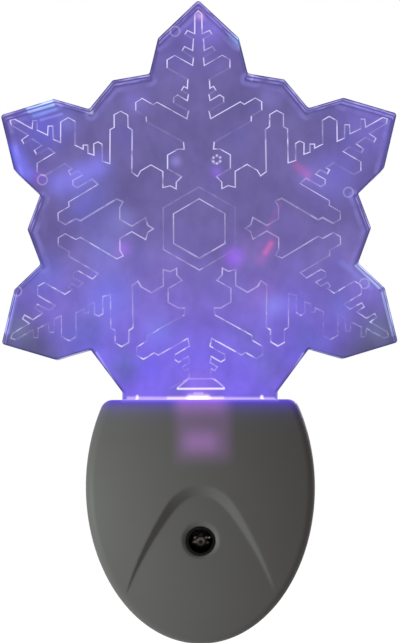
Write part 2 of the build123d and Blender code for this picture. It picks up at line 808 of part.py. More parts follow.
with BuildPart() as transistor:
    with BuildSketch(at_depth(board_front + standoff)):
        with Locations(transistor_spot):
            Circle(transistor_r)
        with Locations((transistor_spot[0], transistor_spot[1] + transistor_flat)):
            Rectangle(
                3 * transistor_r,
                transistor_r,
                align=(Align.CENTER, Align.MIN),
                mode=Mode.SUBTRACT,
            )
    extrude(amount=transistor_h)
save(transistor, "transistor")


def axial_body(spot, radius, length, end_r, middle_r):
    """Round body that lies across the board, with a collar at each end."""
    axis_at = (-(board_front + radius + standoff), spot[1])
    middle = length * axial_middle_share
    collar = (length - middle) / 2
    stretches = ((-length / 2, collar, end_r), (-middle / 2, middle, middle_r))
    stretches += ((middle / 2, collar, end_r),)
    with BuildPart() as body:
        for start, stretch, stretch_r in stretches:
            with BuildSketch(Plane.YZ.offset(spot[0] + start)):
                with Locations(axis_at):
                    Circle(stretch_r)
            extrude(amount=stretch)
    return body.part


fuse_solid = axial_body(
    fuse_resistor_spot,
    fuse_resistor_r,
    fuse_resistor_length,
    fuse_resistor_r,
    fuse_resistor_r * fuse_waist_share,
)
with BuildPart() as fusible_resistor:
    add(fuse_solid)
save(fusible_resistor, "fusible_resistor")

resistor_bodies = [
    axial_body(spot, resistor_r, resistor_length, resistor_r, resistor_r * resistor_waist_share)
    for spot in resistor_spots
]
with BuildPart() as resistors:
    for body in resistor_bodies:
        add(body)
save(resistors, "resistors")

zener_solid = axial_body(
    zener_spot, zener_r, zener_length, zener_r * zener_end_share, zener_r
)
with BuildPart() as zener_diode:
    add(zener_solid)
save(zener_diode, "zener_diode")

with BuildPart() as component_leads:
    with BuildSketch(at_depth(lead_end_depth)):
        with Locations(*standing_leads):
            Circle(lead_r)
    extrude(amount=board_front + standoff - lead_end_depth)
    for (x, z), radius, length in axial_parts:
        axis_y = -(board_front + radius + standoff)
        for side in (-1, 1):
            end_x = x + side * length / 2
            foot_x = end_x + side * lead_stub
            with BuildLine() as route:
                FilletPolyline(
                    (end_x, axis_y, z),
                    (foot_x, axis_y, z),
                    (foot_x, -lead_end_depth, z),
                    radius=lead_bend_r,
                )
            with BuildSketch(Plane.YZ.offset(end_x)):
                with Locations((axis_y, z)):
                    Circle(lead_r)
            sweep(path=route.line)
save(component_leads, "component_leads")

# ==== swivel plug ===================================================================
blade_half = blade_spacing / 2
inner_mid_r = sum(inner_ring_r) / 2
outer_mid_r = sum(outer_ring_r) / 2
inner_foot = (-blade_half - blade_t / 2, -inner_ring_r[0])
outer_foot = (blade_half - blade_t / 2, outer_ring_r[1])
rivet_spots = [(-inner_mid_r, 0), (outer_mid_r, 0)]


def blade(x, foot):
    """Flat blade with its foot bent along the inner face of the plug base."""
    low, high = foot
    with BuildPart() as piece:
        with BuildSketch(Plane.XZ.offset(-blade_length)):
            with Locations((x, 0)):
                Rectangle(blade_t, blade_width)
        extrude(amount=blade_length + disc_face_depth)
        tip_edges = piece.faces().sort_by(Axis.Y)[-1].edges()
        chamfer(tip_edges.filter_by(Axis.Z), blade_tip_bevel)
        tip_edges = piece.faces().sort_by(Axis.Y)[-1].edges()
        chamfer(tip_edges.filter_by(Axis.X), blade_tip_bevel)
        with BuildSketch(at_depth(disc_face_depth)):
            with Locations(((low + high) / 2, 0)):
                Rectangle(high - low, foot_width)
        extrude(amount=land_h)
        with BuildSketch(Plane.YZ.offset(x - blade_t)):
            with Locations((blade_hole_from_face, 0)):
                Circle(blade_hole_r)
        extrude(amount=2 * blade_t, mode=Mode.SUBTRACT)
        with BuildSketch(at_depth(disc_face_depth)):
            with Locations(*rivet_spots):
                Circle(rivet_r + screw_clear)
        extrude(amount=land_h, mode=Mode.SUBTRACT)
    return piece


plug_blade_left = blade(-blade_half, inner_foot)
save(plug_blade_left, "plug_blade_left")
plug_blade_right = blade(blade_half, outer_foot)
save(plug_blade_right, "plug_blade_right")

rivet_depth = disc_face_depth - 2 * rivet_r
with BuildPart() as plug_disc:
    with BuildSketch(at_depth(0)):
        Circle(disc_r)
    extrude(amount=disc_face_depth)
    with BuildSketch(at_depth(flange_depth)):
        Circle(flange_r)
        with Locations((0, disc_r)):
            Rectangle(lug_width, lug_r - disc_r, align=(Align.CENTER, Align.MIN))
    extrude(amount=flange_t)
    with BuildSketch(at_depth(disc_face_depth)):
        Circle(outer_ring_r[1])
        Circle(outer_ring_r[0], mode=Mode.SUBTRACT)
        Circle(inner_ring_r[1])
        Circle(inner_ring_r[0], mode=Mode.SUBTRACT)
        for low, high in (inner_foot, outer_foot):
            with Locations(((low + high) / 2, 0)):
                Rectangle(
                    high - low + 2 * foot_clear,
                    foot_width + 2 * foot_clear,
                    mode=Mode.SUBTRACT,
                )
    extrude(amount=land_h)
    with BuildSketch(at_depth(0)):
        with Locations((-blade_half, 0), (blade_half, 0)):
            Rectangle(blade_t, blade_width)
    extrude(amount=disc_face_depth, mode=Mode.SUBTRACT)
    with BuildSketch(at_depth(rivet_depth)):
        with Locations(*rivet_spots):
            Circle(rivet_r + screw_clear)
    extrude(amount=ring_face_depth, mode=Mode.SUBTRACT)
save(plug_disc, "plug_disc")

for name, radii in (("inner_contact_ring", inner_ring_r), ("outer_contact_ring", outer_ring_r)):
    with BuildPart() as contact_ring:
        add(ring(radii[0], radii[1], land_depth, ring_t))
        with BuildSketch(at_depth(land_depth)):
            with Locations(*rivet_spots):
                Circle(rivet_r + screw_clear)
        extrude(amount=ring_t, mode=Mode.SUBTRACT)
    save(contact_ring, name)

with BuildPart() as contact_rivets:
    with BuildSketch(at_depth(rivet_depth)):
        with Locations(*rivet_spots):
            Circle(rivet_r)
    extrude(amount=ring_face_depth - rivet_depth)
save(contact_rivets, "contact_rivets")

# ==== what holds and feeds the plug base ============================================
with BuildPart() as friction_washer:
    add(ring(flange_r - washer_width, flange_r - screw_clear, washer_depth, washer_t))
save(friction_washer, "friction_washer")

with BuildPart() as swivel_retainer:
    add(ring(retainer_inner_r, guide_outer_r, retainer_depth, retainer_t))
    with BuildSketch(at_depth(retainer_depth)):
        with Locations(*ring_screw_spots):
            Circle(ring_screw_r + screw_clear)
    extrude(amount=retainer_t, mode=Mode.SUBTRACT)
save(swivel_retainer, "swivel_retainer")


def leaf_spring(touch_x, side):
    """Bent strip from a pad on the board's back to its contact ring."""
    pad_y = -(board_depth - spring_t / 2)
    touch_y = -(ring_face_depth + spring_gap + spring_t / 2)
    knee_x = touch_x + side * spring_arm
    with BuildPart() as spring:
        with BuildSketch(Plane.XY):
            with BuildLine():
                FilletPolyline(
                    (knee_x + side * spring_pad, pad_y),
                    (knee_x, pad_y),
                    (touch_x, touch_y),
                    (touch_x - side * 2 * spring_lift, touch_y - spring_lift),
                    radius=spring_bend_r,
                )
            trace(line_width=spring_t)
        extrude(amount=spring_width / 2, both=True)
    return spring


line_contact_spring = leaf_spring(outer_mid_r, 1)
save(line_contact_spring, "line_contact_spring")
neutral_contact_spring = leaf_spring(-inner_mid_r, -1)
save(neutral_contact_spring, "neutral_contact_spring")

# ==== screws ========================================================================
housing_screws = cross_head_screws(
    boss_spots,
    boss_screw_seat,
    1,
    boss_screw_head_r,
    boss_screw_head_h,
    boss_screw_r,
    boss_screw_length,
)
save(housing_screws, "housing_screws")
board_screws = cross_head_screws(
    board_post_spots,
    board_depth,
    1,
    board_screw_head_r,
    board_screw_head_h,
    board_screw_r,
    board_screw_length,
)
save(board_screws, "board_screws")
retainer_screws = cross_head_screws(
    ring_screw_spots,
    retainer_face_depth,
    -1,
    ring_screw_head_r,
    ring_screw_head_h,
    ring_screw_r,
    ring_screw_length,
)
save(retainer_screws, "retainer_screws")
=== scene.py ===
"""Finishes, light and stage for a plug-in night light with an edge-lit snowflake panel."""

import math

import bmesh
import bpy
from bpy.props import FloatProperty, FloatVectorProperty, PointerProperty
from bpy.types import Operator, Panel, PropertyGroup
from mathutils import Matrix, Vector


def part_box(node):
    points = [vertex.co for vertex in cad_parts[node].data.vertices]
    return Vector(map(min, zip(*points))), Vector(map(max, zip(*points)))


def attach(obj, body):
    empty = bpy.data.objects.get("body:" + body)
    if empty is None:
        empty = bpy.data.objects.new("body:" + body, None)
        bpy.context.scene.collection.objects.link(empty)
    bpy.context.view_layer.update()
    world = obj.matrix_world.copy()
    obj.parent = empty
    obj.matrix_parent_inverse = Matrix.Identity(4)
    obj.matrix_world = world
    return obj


bl_info = {
    "name": "Snowflake night light",
    "version": (1, 0, 0),
    "blender": (4, 5, 0),
    "location": "View3D > Sidebar > Night Light",
    "description": "Dresses the parts of an edge-lit plug-in night light and sets its stage",
    "category": "Object",
}

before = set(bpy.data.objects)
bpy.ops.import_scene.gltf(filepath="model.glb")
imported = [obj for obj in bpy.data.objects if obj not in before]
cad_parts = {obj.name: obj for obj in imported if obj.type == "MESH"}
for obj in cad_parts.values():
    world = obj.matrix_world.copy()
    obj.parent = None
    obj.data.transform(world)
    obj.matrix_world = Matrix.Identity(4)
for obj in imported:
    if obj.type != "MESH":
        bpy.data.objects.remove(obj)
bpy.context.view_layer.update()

# Sizes and places are in millimetres unless a name or a comment says otherwise.
MM = 0.001
panel_low, panel_high = (Vector(corner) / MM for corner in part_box("snowflake_panel"))
led_low, led_high = (Vector(corner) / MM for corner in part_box("led_body"))
cell_low, cell_high = (Vector(corner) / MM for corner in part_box("photo_sensor"))
TOP_Z = (Vector(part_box("front_housing")[1]) / MM).z
FIGURE_H = 0.5           # of the raised figure on the panel's front
PLATE_FRONT_Y = panel_low.y + FIGURE_H
PLATE_BACK_Y = panel_high.y
PLATE_T = PLATE_BACK_Y - PLATE_FRONT_Y
PLATE_MID_Y = (PLATE_FRONT_Y + PLATE_BACK_Y) / 2
PANEL_CENTRE_Z = 63.7
# Corners of the panel's outline over half an arm, as (distance from centre, degrees).
TIP, SHOULDER, NOTCH, LOBE = (49.8, 0.0), (42.4, 12.0), (35.4, 17.6), (37.4, 30.0)
STEM_CORNER = (16.9, TOP_Z + 1.7)
MERGE_M = 1e-6           # in metres: corners nearer than this are one
CUT_M = 1e-7             # in metres: corners nearer than this to a cut lie on it

# ---- texture of moulded plastic
CLOUDS_PER_MM = 0.09
CLOUD_SHADES = (0.95, 1.05)
GRAINS_PER_MM = 5.0
GRAIN_DEPTH = 0.02
GRAIN_STRENGTH = 0.35

# ---- texture of rolled or turned metal
LINES_PER_MM = 4.0
LINE_DEPTH = 0.008
LINE_STRENGTH = 0.5
DULL_PATCHES_PER_MM = 0.5
TARNISH = 0.12           # share of the metal's colour that its dull patches lose

# ---- painted light through the housing and on its top edge
LED_PATCH_X = 0.6
LED_PATCH_SIDE = (7.4, 4.0)      # fades in between these distances from its middle
LED_PATCH_FOOT = (11.4, 16.2)    # and between these heights
LED_PATCH_DEPTH = (-20.0, -24.0)         # and between these y
LED_PATCH_LIGHT = (0.66, 0.36)   # of the spot in the patch, and of all of it
LED_SPOT = ((LED_PATCH_X - 1.8, 17.6), (LED_PATCH_X + 0.8, 17.6), 3.8)
# The fringe is painted light from the panel on the housing's top edge.
FRINGE_FALL = 1.15       # the fringe fades to a third over this height
# Painted light along the slot where the panel stands, with more in its middle.
SLOT_LINE = ((-16.5, TOP_Z), (16.5, TOP_Z), 0.7)
SLOT_LINE_COLOUR = (0.10, 0.07, 0.25)
SLOT_MIDDLE = ((-3.0, TOP_Z), (3.0, TOP_Z), 4.0)
SLOT_MIDDLE_COLOUR = (0.12, 0.04, 0.10)
SHELL_GLOSS = 0.14
SHELL_EDGE_R = 0.9       # to which the edges on the front shell look rounded

# ---- light in the panel
# Light in the depth of the panel, from its foot to its tip, as (height, colour).
PANEL_RAMP = (
    (TOP_Z, (0.205, 0.140, 0.78)),
    (TOP_Z + 9, (0.206, 0.150, 0.775)),
    (TOP_Z + 20, (0.212, 0.154, 0.595)),
    (TOP_Z + 32, (0.184, 0.145, 0.43)),
    (TOP_Z + 42, (0.154, 0.125, 0.335)),
    (TOP_Z + 66, (0.148, 0.124, 0.325)),
    (TOP_Z + 79, (0.190, 0.152, 0.415)),
    (TOP_Z + 86, (0.250, 0.180, 0.64)),
)
# Below, a fade is (start, end), or (start, end, amount before it, amount after it), and a
# band is (start, full, last full, end). Reach is the distance from the panel's centre, side
# the distance from its middle line, and slope how far a face looks to the front or back.
TIP_LIGHT = (0.145, 0.118, 0.40)
TIP_REACH = (30.0, 50.0, 0.0, 0.8)
TIP_HEIGHT = (PANEL_CENTRE_Z - 10, PANEL_CENTRE_Z + 12)
LOW_TIP_LIGHT = (0.118, 0.112, 0.245)
LOW_TIP_REACH = (34.0, 46.0)
LOW_TIP_HEIGHT_BAND = (30.0, 36.0, 42.0, 52.0)
VEIL_LIGHT = (0.14, 0.12, 0.44)
# Painted shade: a darker band of the panel's light just inside the outline.
EDGE_BAND_SHADE = (0.055, 0.050, 0.19)
EDGE_BAND_SHADE_FADE = (0.55, 0.15, 0.0, 0.45)             # by distance from the outline
INNER_LIGHT = (0.26, 0.23, 0.66)
INNER_BAND = (0.4, 0.8, 1.1, 1.9)                 # by distance from the arms' outer sides
INNER_HEIGHT = (44.0, 60.0, 0.0, 0.5)
CORE_WALL_SLOPE = (0.6, 0.3)
LIGHT_SOURCE_Z = TOP_Z - 6.0
OUTWARD_FADE = (0.45, 0.85)      # by how far a wall looks away from the LED
# Light on the panel's side walls from front to back, as (share of the depth, colour).
WALL_RAMP = (
    (0.0, (0.40, 0.36, 0.90)),
    (0.26, (0.56, 0.52, 0.98)),
    (0.40, (0.11, 0.09, 0.33)),
    (0.52, (0.10, 0.08, 0.32)),
    (0.66, (0.30, 0.26, 0.68)),
    (0.88, (0.30, 0.26, 0.68)),
    (1.0, (0.11, 0.09, 0.34)),
)
# How much of a glint the side walls show, in the same form.
GLINT_RAMP = (
    (0.0, (0.3, 0.3, 0.4)),
    (0.08, (1.0, 1.0, 1.0)),
    (0.22, (1.0, 1.0, 1.0)),
    (0.34, (0.15, 0.18, 0.3)),
    (0.58, (0.15, 0.18, 0.3)),
    (0.70, (0.6, 0.7, 0.9)),
    (0.84, (0.6, 0.7, 0.9)),
    (1.0, (0.2, 0.2, 0.3)),
)
# Soft patches of more or less light, as (x, z), radius and colour.
SOFT_LIGHTS = (
    # upper left
    ((-34.0, 87.0), 8.0, (0.02, 0.025, 0.25)),
    ((-29.5, 88.5), 3.5, (0.04, 0.05, 0.12)),
    ((-24.5, 71.0), 8.5, (0.02, 0.035, 0.18)),
    ((-17.0, 66.5), 5.0, (0.07, 0.075, 0.20)),
    ((-35.5, 75.8), 2.7, (0.07, 0.00, 0.16)),
    ((-14.2, 92.5), 4.5, (0.06, 0.045, 0.17)),
    ((-9.0, 80.0), 5.0, (-0.022, -0.015, -0.05)),
    # upper right
    ((36.5, 86.5), 8.0, (0.06, 0.05, 0.20)),
    ((29.5, 75.5), 9.0, (0.055, 0.05, 0.25)),
    ((23.5, 75.5), 4.0, (0.06, 0.04, 0.14)),
    ((20.0, 66.5), 7.0, (0.04, 0.025, 0.08)),
    ((15.5, 93.5), 4.0, (0.05, 0.04, 0.12)),
    # top
    ((1.5, 108.0), 6.0, (0.075, 0.05, 0.22)),
    ((0.3, 111.5), 1.4, (0.35, 0.16, 0.22)),
    # middle
    ((-5.1, 79.3), 1.8, (0.11, 0.10, 0.24)),
    ((3.9, 76.9), 2.0, (0.09, 0.02, 0.26)),
    ((7.7, 58.0), 3.3, (0.135, 0.012, 0.38)),
    ((12.0, 60.0), 6.0, (0.055, 0.025, 0.08)),
    ((14.0, 50.0), 5.0, (0.055, 0.02, 0.07)),
    ((21.0, 57.0), 5.0, (0.015, 0.01, 0.06)),
    ((-16.8, 59.8), 2.6, (0.10, 0.00, 0.16)),
    ((-21.0, 60.0), 8.0, (0.015, 0.035, 0.13)),
    ((-8.0, 58.0), 6.0, (0.04, 0.03, 0.10)),
    ((-34.0, 54.0), 7.0, (-0.01, 0.02, 0.12)),
    # lower arms
    ((-20.0, 49.5), 8.0, (-0.015, 0.03, 0.18)),
    ((-40.0, 42.0), 4.5, (0.05, 0.06, 0.10)),
    ((-25.0, 41.5), 8.0, (-0.065, -0.015, -0.17)),
    ((39.5, 42.0), 4.5, (0.05, 0.06, 0.11)),
    ((21.0, 47.5), 7.0, (0.02, 0.025, 0.16)),
    ((16.5, 47.0), 3.6, (0.02, 0.06, 0.14)),
    ((31.0, 47.0), 4.5, (0.00, 0.03, 0.09)),
    ((24.0, 40.0), 6.0, (-0.03, 0.00, -0.08)),
    ((11.0, 39.0), 6.0, (-0.03, -0.005, -0.13)),
    # foot
    ((-9.0, 42.0), 5.0, (0.01, 0.05, 0.12)),
    ((-2.0, 38.0), 7.0, (0.04, 0.025, 0.16)),
    ((-17.0, 34.0), 5.5, (-0.035, 0.01, -0.17)),
    ((15.5, 33.5), 6.0, (-0.03, -0.005, -0.20)),
    ((-11.0, 33.0), 4.0, (-0.01, 0.00, 0.09)),
    ((0.0, 29.5), 6.0, (0.075, 0.03, 0.06)),
)
# Glints along the edges and the foot, as (x, z) to (x, z), half width and colour.
GLINTS = (
    ((-41.2, 81.5), (-38.5, 76.8), 3.2, (0.075, 0.085, 0.50)),
    ((-31.0, 74.6), (-22.5, 78.2), 4.2, (0.06, 0.065, 0.35)),
    ((21.6, 78.2), (24.2, 76.3), 1.5, (0.15, 0.00, 0.02)),
    ((15.9, 61.0), (14.6, 59.0), 0.9, (0.26, 0.02, 0.04)),
    ((16.2, 61.6), (13.6, 57.2), 1.8, (0.08, 0.00, 0.02)),
    ((17.9, 69.8), (15.0, 64.0), 0.9, (0.055, 0.00, 0.01)),
    ((-37.6, 90.3), (-32.0, 91.9), 0.30, (0.42, 0.66, 0.62)),
    ((-36.6, 89.5), (-31.6, 91.0), 0.60, (0.04, 0.14, 0.24)),
    ((-35.0, 88.6), (-30.4, 89.9), 0.50, (0.10, 0.11, 0.22)),
    ((-31.5, 92.1), (-24.2, 90.6), 0.35, (0.30, 0.28, 0.38)),
    ((-24.4, 90.4), (-23.8, 90.2), 0.60, (0.60, 0.58, 0.46)),
    ((7.4, 107.0), (9.2, 104.9), 0.90, (0.14, 0.32, 0.40)),
    ((9.2, 104.6), (10.9, 98.2), 0.45, (0.24, 0.34, 0.36)),
    ((-12.7, 98.2), (-12.4, 97.6), 0.50, (0.60, 0.55, 0.46)),
    ((11.5, 97.9), (11.8, 97.5), 0.50, (0.60, 0.55, 0.46)),
    ((40.4, 50.0), (42.8, 40.5), 0.36, (0.26, 0.34, 0.36)),
    ((-40.6, 49.6), (-42.5, 41.5), 0.60, (0.12, 0.14, 0.34)),
    ((34.6, 56.0), (39.8, 51.0), 0.34, (0.34, 0.42, 0.44)),
    ((31.6, 56.6), (38.0, 51.2), 1.10, (0.03, 0.05, 0.13)),
    ((-22.9, 37.0), (-17.2, 27.9), 0.34, (0.24, 0.22, 0.32)),
    ((22.9, 36.6), (17.2, 27.6), 0.34, (0.26, 0.24, 0.34)),
    ((-4.9, 28.9), (5.3, 28.9), 0.34, (0.80, 0.74, 0.38)),
    ((-5.0, 29.1), (-2.8, 30.9), 0.24, (0.36, 0.34, 0.28)),
    ((5.4, 29.1), (3.4, 30.9), 0.24, (0.36, 0.34, 0.28)),
    ((-2.6, 31.1), (3.2, 31.1), 0.24, (0.16, 0.14, 0.16)),
    ((-1.2, 27.9), (0.5, 27.9), 0.45, (0.26, 0.20, 0.16)),
    ((-15.9, 26.9), (16.3, 26.6), 0.55, (0.42, 0.32, 0.24)),
    ((-2.2, 26.8), (1.5, 26.8), 1.10, (1.00, 0.82, 0.34)),
    ((-7.0, 26.8), (5.0, 26.8), 0.60, (0.40, 0.34, 0.20)),
    ((-13.9, 27.3), (-13.9, 26.7), 0.45, (0.80, 0.70, 0.36)),
    ((13.7, 27.1), (13.7, 26.5), 0.50, (1.00, 0.90, 0.44)),
)

# ---- light on the panel's skin
SKIN_GLOSS_FADE = (0.045, 1.0)   # leaves out the gloss of what is seen straight on
FIGURE_SLOPE = (0.97, 0.90)
RIM_SLOPE = (0.25, 0.1)
RIM_LIGHT = 0.45
OUTLINE_SHADE = (0.045, 0.040, 0.15)
OUTLINE_FADE = (0.42, 0.10)      # by distance from the outline
# Light on the sides of the raised figure, which are its lines.
LINE_TURN = (-0.60, 0.05, 0.09, 1.0)              # by how far they look away from the LED
LINE_HEIGHT = (PANEL_CENTRE_Z + 4, PANEL_CENTRE_Z + 18, 0.62, 1.0)
UNDERSIDE_HEIGHT = (PANEL_CENTRE_Z + 18, PANEL_CENTRE_Z + 6)
UNDERSIDE_REACH = (36.0, 27.0, 0.26, 0.40)
HEXAGON_REACH = (7.1, 6.7, 0.0, 0.52)
FOOT_HEIGHT = (TOP_Z + 30, TOP_Z + 12, 0.0, 0.85)
FOOT_SIDE = (28.0, 20.0)
LOW_ARM_HEIGHT = (60.0, 52.0)
LOW_ARM_REACH = (20.0, 26.0)
# Upright lines lose light near the panel's middle line, and on both sides of that.
UPRIGHT_RISE = (0.22, 0.12)      # by how far a face looks up or down
UPRIGHT_FOOT = (30.0, 31.0)
MIDDLE_SIDE = (11.0, 8.0)
MIDDLE_HEIGHT = (49.0, 46.0, 0.0, 0.75)
BESIDE_SIDE = (9.0, 12.0)
BESIDE_HEIGHT = (58.0, 52.0, 0.0, 0.5)
# Stretches of the lines that catch little light, as (x, z) to (x, z).
FAINT_STRETCHES = (
    ((-7.0, 28.2), (-4.1, 30.2)),
    ((7.0, 28.2), (4.1, 30.2)),
    ((-3.9, 44.3), (-8.6, 41.5)),
)
FAINT_FADE = (0.35, 0.55, 0.12, 1.0)              # by distance from them
# The ring round the middle hexagon is faint but for one stretch, (x, z) to (x, z).
RING_REACH_BAND = (6.8, 7.4, 9.4, 9.9)
RING_STRETCH = ((-8.0, PANEL_CENTRE_Z - 4.6), (0.0, PANEL_CENTRE_Z - 9.2))
RING_LOSS = (0.5, 1.2, 0.20, 0.68)                # by distance from that stretch
RING_RIGHT_LOSS = (2.0, 5.0, 0.0, 0.84)           # by x
# Marks that the mould's ejector pins leave, as (x, z) from the panel's centre.
PIN_MARKS = ((-5.1, 43.0), (-34.1, 10.8), (-39.8, -13.4), (35.9, -12.1), (32.5, 7.8))
PIN_MARK_R = 1.05
PIN_MARK_FADE = (0.26, 0.05, 0.0, 0.26)
GATE_MARK = (3.9, 78.7)
GATE_EDGE_LOSS = (1.9, 1.5, 0.0, 0.8)
GATE_DOTS = 6
GATE_DOT_RING = 0.84
GATE_DOT_R = 0.36
STRIP_SLOPE = (0.3, 0.95)        # least and most of the figure's sides
STRIP_LIFT = 0.03        # of the figure's strips off the panel's back
STRIP_T = 0.01

# ---- LED
LED_GLOW_FADE = (4.5, 0.5)       # by distance from its middle
LED_RIM_LIGHT = (0.45, 0.35, 0.95)
LED_HOT_LIGHT = (1.0, 0.92, 1.0)

# ---- lead frame inside the photocell
FRAME_R = 0.92
FRAME_HOLE_R = 0.38
FRAME_T = 0.12
FRAME_STEPS = 24
FRAME_DEPTH = 0.9        # behind the photocell's tip
FRAME_DROP = 0.2         # below its middle
# Painted light on the lead frame, strongest on its upper half.
FRAME_GLOW = (0.058, 0.050, 0.047)
FRAME_GLOW_HEIGHT = (-0.9, 0.3)          # from the middle; the glow grows between them
FRAME_GLOW_LEAST = 0.2   # share of it below them
WING = ((-0.75, 0.45), (-1.75, 0.05), (-1.75, -0.2), (-0.8, -0.35))
WING_OFFSET = 0.02       # behind the ring
BOND_PADS = ((1.50, -0.15, 0.26), (1.85, 0.90, 0.22))        # x, z and radius

# ---- stage
VIEW_HEIGHT = 141.25     # height of the view at the panel
VIEW_LIFT = 0.1214       # of the view's middle above the camera, as a share of its height
VIEW_ROLL = 0.25         # degrees
SENSOR_WIDTH = 24.0      # for the longer side of the picture
FLOOR_Z = -450.0
FLOOR_HALF = 4000.0
FLOOR_PAINT = (0.8, 0.8, 0.8)
FLOOR_LIFT = 0.90        # light of its own that the camera sees on the floor
SURROUND_LIGHT = 0.25    # that falls on the object, where the camera sees 1
SURROUND_TINT = (1.0, 0.94, 0.945)
LAMP_AIM = (0.0, 0.0, 0.03)      # in metres
# Each lamp's place and size in metres, its watts and its colour.
LAMPS = {
    "key_lamp": ((-0.19, -0.14, -0.03), 0.07, 0.47, (0.87, 1.0, 0.98)),
    "back_lamp": ((0.30, 0.42, 0.25), 0.30, 2.4, (1.0, 0.98, 0.96)),
}


# ---- finishes ----------------------------------------------------------------------
class Finish:
    """A material, or the world, while it is put together. Lengths in it are millimetres."""

    def __init__(self, name, library=None):
        if library is None:
            library = bpy.data.materials
        self.made = library.new(name)
        self.made.use_nodes = True
        self.nodes = self.made.node_tree.nodes
        self.links = self.made.node_tree.links
        self.nodes.clear()
        self.position = None
        self.facing = None

    def add(self, kind, inputs=(), **settings):
        """A node whose inputs, by name or number, are set or linked."""
        node = self.nodes.new("ShaderNode" + kind)
        for key, value in settings.items():
            setattr(node, key, value)
        for key, value in dict(inputs).items():
            if is_socket(value):
                self.links.new(value, node.inputs[key])
            else:
                node.inputs[key].default_value = value
        return node

    def calc(self, operation, *values, clamp=False):
        inputs = enumerate(values)
        return self.add("Math", inputs, operation=operation, use_clamp=clamp).outputs[0]

    def vector(self, operation, *values):
        node = self.add("VectorMath", enumerate(values), operation=operation)
        return next(socket for socket in node.outputs if socket.enabled)

    def place(self):
        """Where a point lies on the part, in millimetres."""
        if self.position is None:
            coordinates = self.add("TexCoord")
            self.position = self.vector("SCALE", coordinates.outputs["Object"])
            self.position.node.inputs["Scale"].default_value = 1 / MM
            self.facing = coordinates.outputs["Normal"]
        return self.position

    def normal(self):
        self.place()
        return self.facing

    def parts(self, vector):
        node = self.add("SeparateXYZ", {0: vector})
        return node.outputs[0], node.outputs[1], node.outputs[2]

    def ease(self, value, start, end, low=0.0, high=1.0):
        """Runs smoothly from low to high while the value goes from start to end."""
        inputs = {"Value": value, "From Min": start, "From Max": end, "To Min": low, "To Max": high}
        return self.add("MapRange", inputs, interpolation_type="SMOOTHSTEP").outputs["Result"]

    def band(self, value, start, full, last, end):
        """Rises from start to full, and falls again from last to end."""
        rise, fall = self.ease(value, start, full), self.ease(value, end, last)
        return self.calc("MULTIPLY", rise, fall)

    def flat(self):
        """Where a point lies as seen from the front, with no depth."""
        return self.vector("MULTIPLY", self.place(), (1, 0, 1))

    def noise(self, per_mm, detail=2.0, stretch=(1, 1, 1)):
        place = self.vector("MULTIPLY", self.place(), stretch)
        inputs = {"Vector": place, "Scale": per_mm, "Detail": detail}
        return self.add("TexNoise", inputs).outputs[0]

    def blend(self, factor, first, second):
        """The first colour at a factor of 0, and the second at 1."""
        colours = [value if is_socket(value) else rgba(value) for value in (first, second)]
        inputs = {0: factor, 6: colours[0], 7: colours[1]}
        return self.add("Mix", inputs, data_type="RGBA").outputs[2]

    def scaled(self, colour, amount):
        """A colour times a value."""
        socket = self.vector("SCALE", colour if is_socket(colour) else tuple(colour[:3]))
        self.links.new(amount, socket.node.inputs["Scale"])
        return socket

    def less(self, value, loss):
        """A value without a share of it."""
        return self.calc("MULTIPLY", value, self.calc("SUBTRACT", 1.0, loss))

    def halo(self, away, radius):
        """1 at no distance, falling softly to 0 at one and a half times the radius."""
        near = self.ease(away, 1.5 * radius, 0)
        return self.calc("MULTIPLY", near, near)

    def spot(self, centre, radius):
        """A halo round a point (x, z) of the front."""
        away = self.vector("DISTANCE", self.flat(), (centre[0], 0, centre[1]))
        return self.halo(away, radius)

    def stroke(self, start, end, radius):
        """A halo along the line between two points (x, z) of the front."""
        return self.halo(self.line_distance(self.flat(), start, end), radius)

    def line_distance(self, flat, start, end):
        """Distance of a flat vector from the line between two points (x, z)."""
        first, last = Vector((start[0], 0, start[1])), Vector((end[0], 0, end[1]))
        run = last - first
        from_first = self.vector("SUBTRACT", flat, tuple(first))
        along = self.vector("DOT_PRODUCT", from_first, tuple(run))
        share = self.calc("DIVIDE", along, run.length_squared, clamp=True)
        nearest = self.vector("ADD", self.scaled(tuple(run), share), tuple(first))
        return self.vector("DISTANCE", flat, nearest)

    def ramp(self, value, stops):
        """A colour from (value, colour) stops in rising order."""
        low, high = stops[0][0], stops[-1][0]
        share = self.add("MapRange", {"Value": value, "From Min": low, "From Max": high})
        node = self.add("ValToRGB", {0: share.outputs["Result"]})
        elements = node.color_ramp.elements
        for index, (place, colour) in enumerate(stops):
            share = (place - low) / (high - low)
            element = elements[index] if index < 2 else elements.new(share)
            element.position = share
            element.color = rgba(colour)
        return node.outputs[0]

    def total(self, *colours):
        result = colours[0]
        for colour in colours[1:]:
            result = self.vector("ADD", result, colour)
        return result

    def bump(self, height, depth_mm, strength, normal=None):
        inputs = {"Strength": strength, "Distance": depth_mm * MM, "Height": height}
        if normal is not None:
            inputs["Normal"] = normal
        return self.add("Bump", inputs).outputs["Normal"]

    def rounded(self, radius):
        """Normals that run round the edges with a radius, or None without one."""
        if not radius:
            return None
        return self.add("Bevel", {"Radius": radius * MM}, samples=6).outputs["Normal"]

    def fresnel(self, index):
        """Share of the light that a clear body throws back."""
        return self.add("Fresnel", {"IOR": index}).outputs[0]

    def seen_directly(self):
        """1 for what the camera, a gloss or a clear body shows, and 0 for light on the object."""
        rays = self.add("LightPath").outputs
        seen = self.calc("MAXIMUM", rays["Is Camera Ray"], rays["Is Glossy Ray"])
        return self.calc("MAXIMUM", seen, rays["Is Transmission Ray"])

    def shader(self, kind, inputs=()):
        return self.add(kind, inputs).outputs[0]

    def mix(self, share, first, second):
        """The first shader at a share of 0, and the second at 1."""
        return self.shader("MixShader", {0: share, 1: first, 2: second})

    def done(self, surface, output="OutputMaterial"):
        self.add(output, {"Surface": surface})
        return self.made


